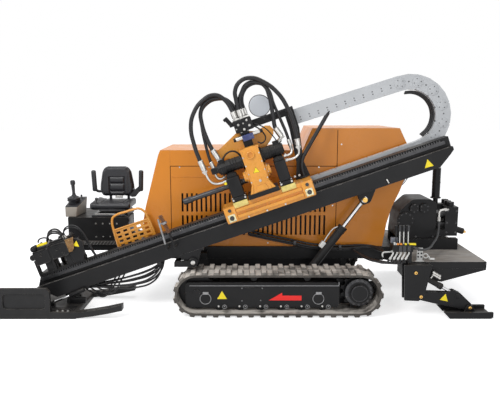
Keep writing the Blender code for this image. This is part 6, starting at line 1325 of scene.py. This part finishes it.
for offset in (0.0, 0.028, 0.055):
    radius = 0.325 - offset * 0.4
    shells.append(hose([(radius * math.cos(a), -0.495 + offset, BEND_W + radius * math.sin(a))
                        for a in (1.45, 1.1, 0.7, 0.3, -0.1, -0.5, -0.9, -1.3)], 0.012))
fitted("chain_hoses", shells, hose_black, "chain_bend", BEND)

# Lift cylinder. A black barrel pinned between chassis lugs and a chromed rod whose eye
# takes the mast's lug, with a pale valve block and pipe on the barrel.
refinish(black, "lift_barrel")
base = Vector((0.70, -0.60, 0.32))
LUG_U, LUG_W = 2.424, 0.003  # the lug's pin along and above the mast
eye = Vector((-0.75 + LUG_U * math.cos(TILT) - LUG_W * math.sin(TILT), -0.60,
              0.68 + LUG_U * math.sin(TILT) + LUG_W * math.cos(TILT)))
way = (eye - base).normalized()
square = Vector((-way.z, 0, way.x))
at = base + way * 0.60
valve = [block((-0.045, 0.045), (-0.03, 0.03), (-0.03, 0.03), 0.006)]
valve[0].transform(Matrix.Translation(at + square * 0.082)
                   @ way.to_track_quat("X", "Z").to_matrix().to_4x4())
valve.append(hose([at + square * 0.085 + way * 0.04, at + square * 0.095 + way * 0.15,
                   at + square * 0.085 + way * 0.28, at + square * 0.055 + way * 0.325], 0.008))
fitted("lift_valve", valve, pale_plated, "lift_barrel_body")
shells = [bar(base + way * 0.935, base + way * 0.965, 0.066, 28, edge=0.004),
          bar(base + way * 0.88, base + way * 0.895, 0.066, 28, edge=0.004)]
fitted("lift_gland", shells, black, "lift_barrel_body")
fitted("lift_pin", [bar((eye.x, -0.664, eye.z), (eye.x, -0.676, eye.z), 0.034, 24, edge=0.004),
                    bar((eye.x, -0.675, eye.z), (eye.x, -0.682, eye.z), 0.014, 6)], gold,
       "lift_rod_body")

# Front anchor. A sled of black plate with recessed side boxes and curved skids, pinned
# under the mast's nose, its lower edges scraped bare by the ground.
scraped = finish("scraped black plate", (0.018, 0.018, 0.0187), 0.42, tone=0.2, tone_scale=3.0,
                 dust_amount=0.35, dust=(0.22, 0.19, 0.16), bare=(0.26, 0.24, 0.21), wear=0.7,
                 edge=0.005, grain=180.0, bump=0.10, shine=0.2)
refinish(scraped, "front_anchor")
ANCHOR = Matrix.Translation((-2.32, 0, 0.16))
front_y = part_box("front_anchor")[0].y
shells = []
for x in (-0.62, -0.42, -0.30):
    shells += bolt((x, front_y + 0.032, -0.095), (0, -1, 0), 0.012)
for x in (-0.10, -0.03, 0.04):
    shells += bolt((x, front_y + 0.05, -0.07), (0, 0, 1), 0.013)
fitted("anchor_bolts", shells, bare_steel, "anchor", ANCHOR)
shells = [bar((-0.20, -0.90, -0.02), (0.02, -0.90, 0.075), 0.017, 18, edge=0.004)]
fitted("anchor_rod", shells, chrome, "anchor", ANCHOR)
shells = [bar((0.0, -0.90, 0.065), (0.20, -0.90, 0.15), 0.030, 20, edge=0.005),
          block((-0.03, 0.19), (-0.84, -0.80), (-0.065, 0.02), 0.01),
          bar((-0.235, -0.93, -0.035), (-0.235, -0.87, -0.035), 0.030, 20, edge=0.004),
          block((-0.27, -0.20), (-0.92, -0.88), (-0.075, -0.03), 0.006),
          block((-0.29, 0.10), (-1.10, -0.95), (-0.0685, -0.056), 0.005)]
fitted("anchor_cylinder", shells, black, "anchor", ANCHOR)
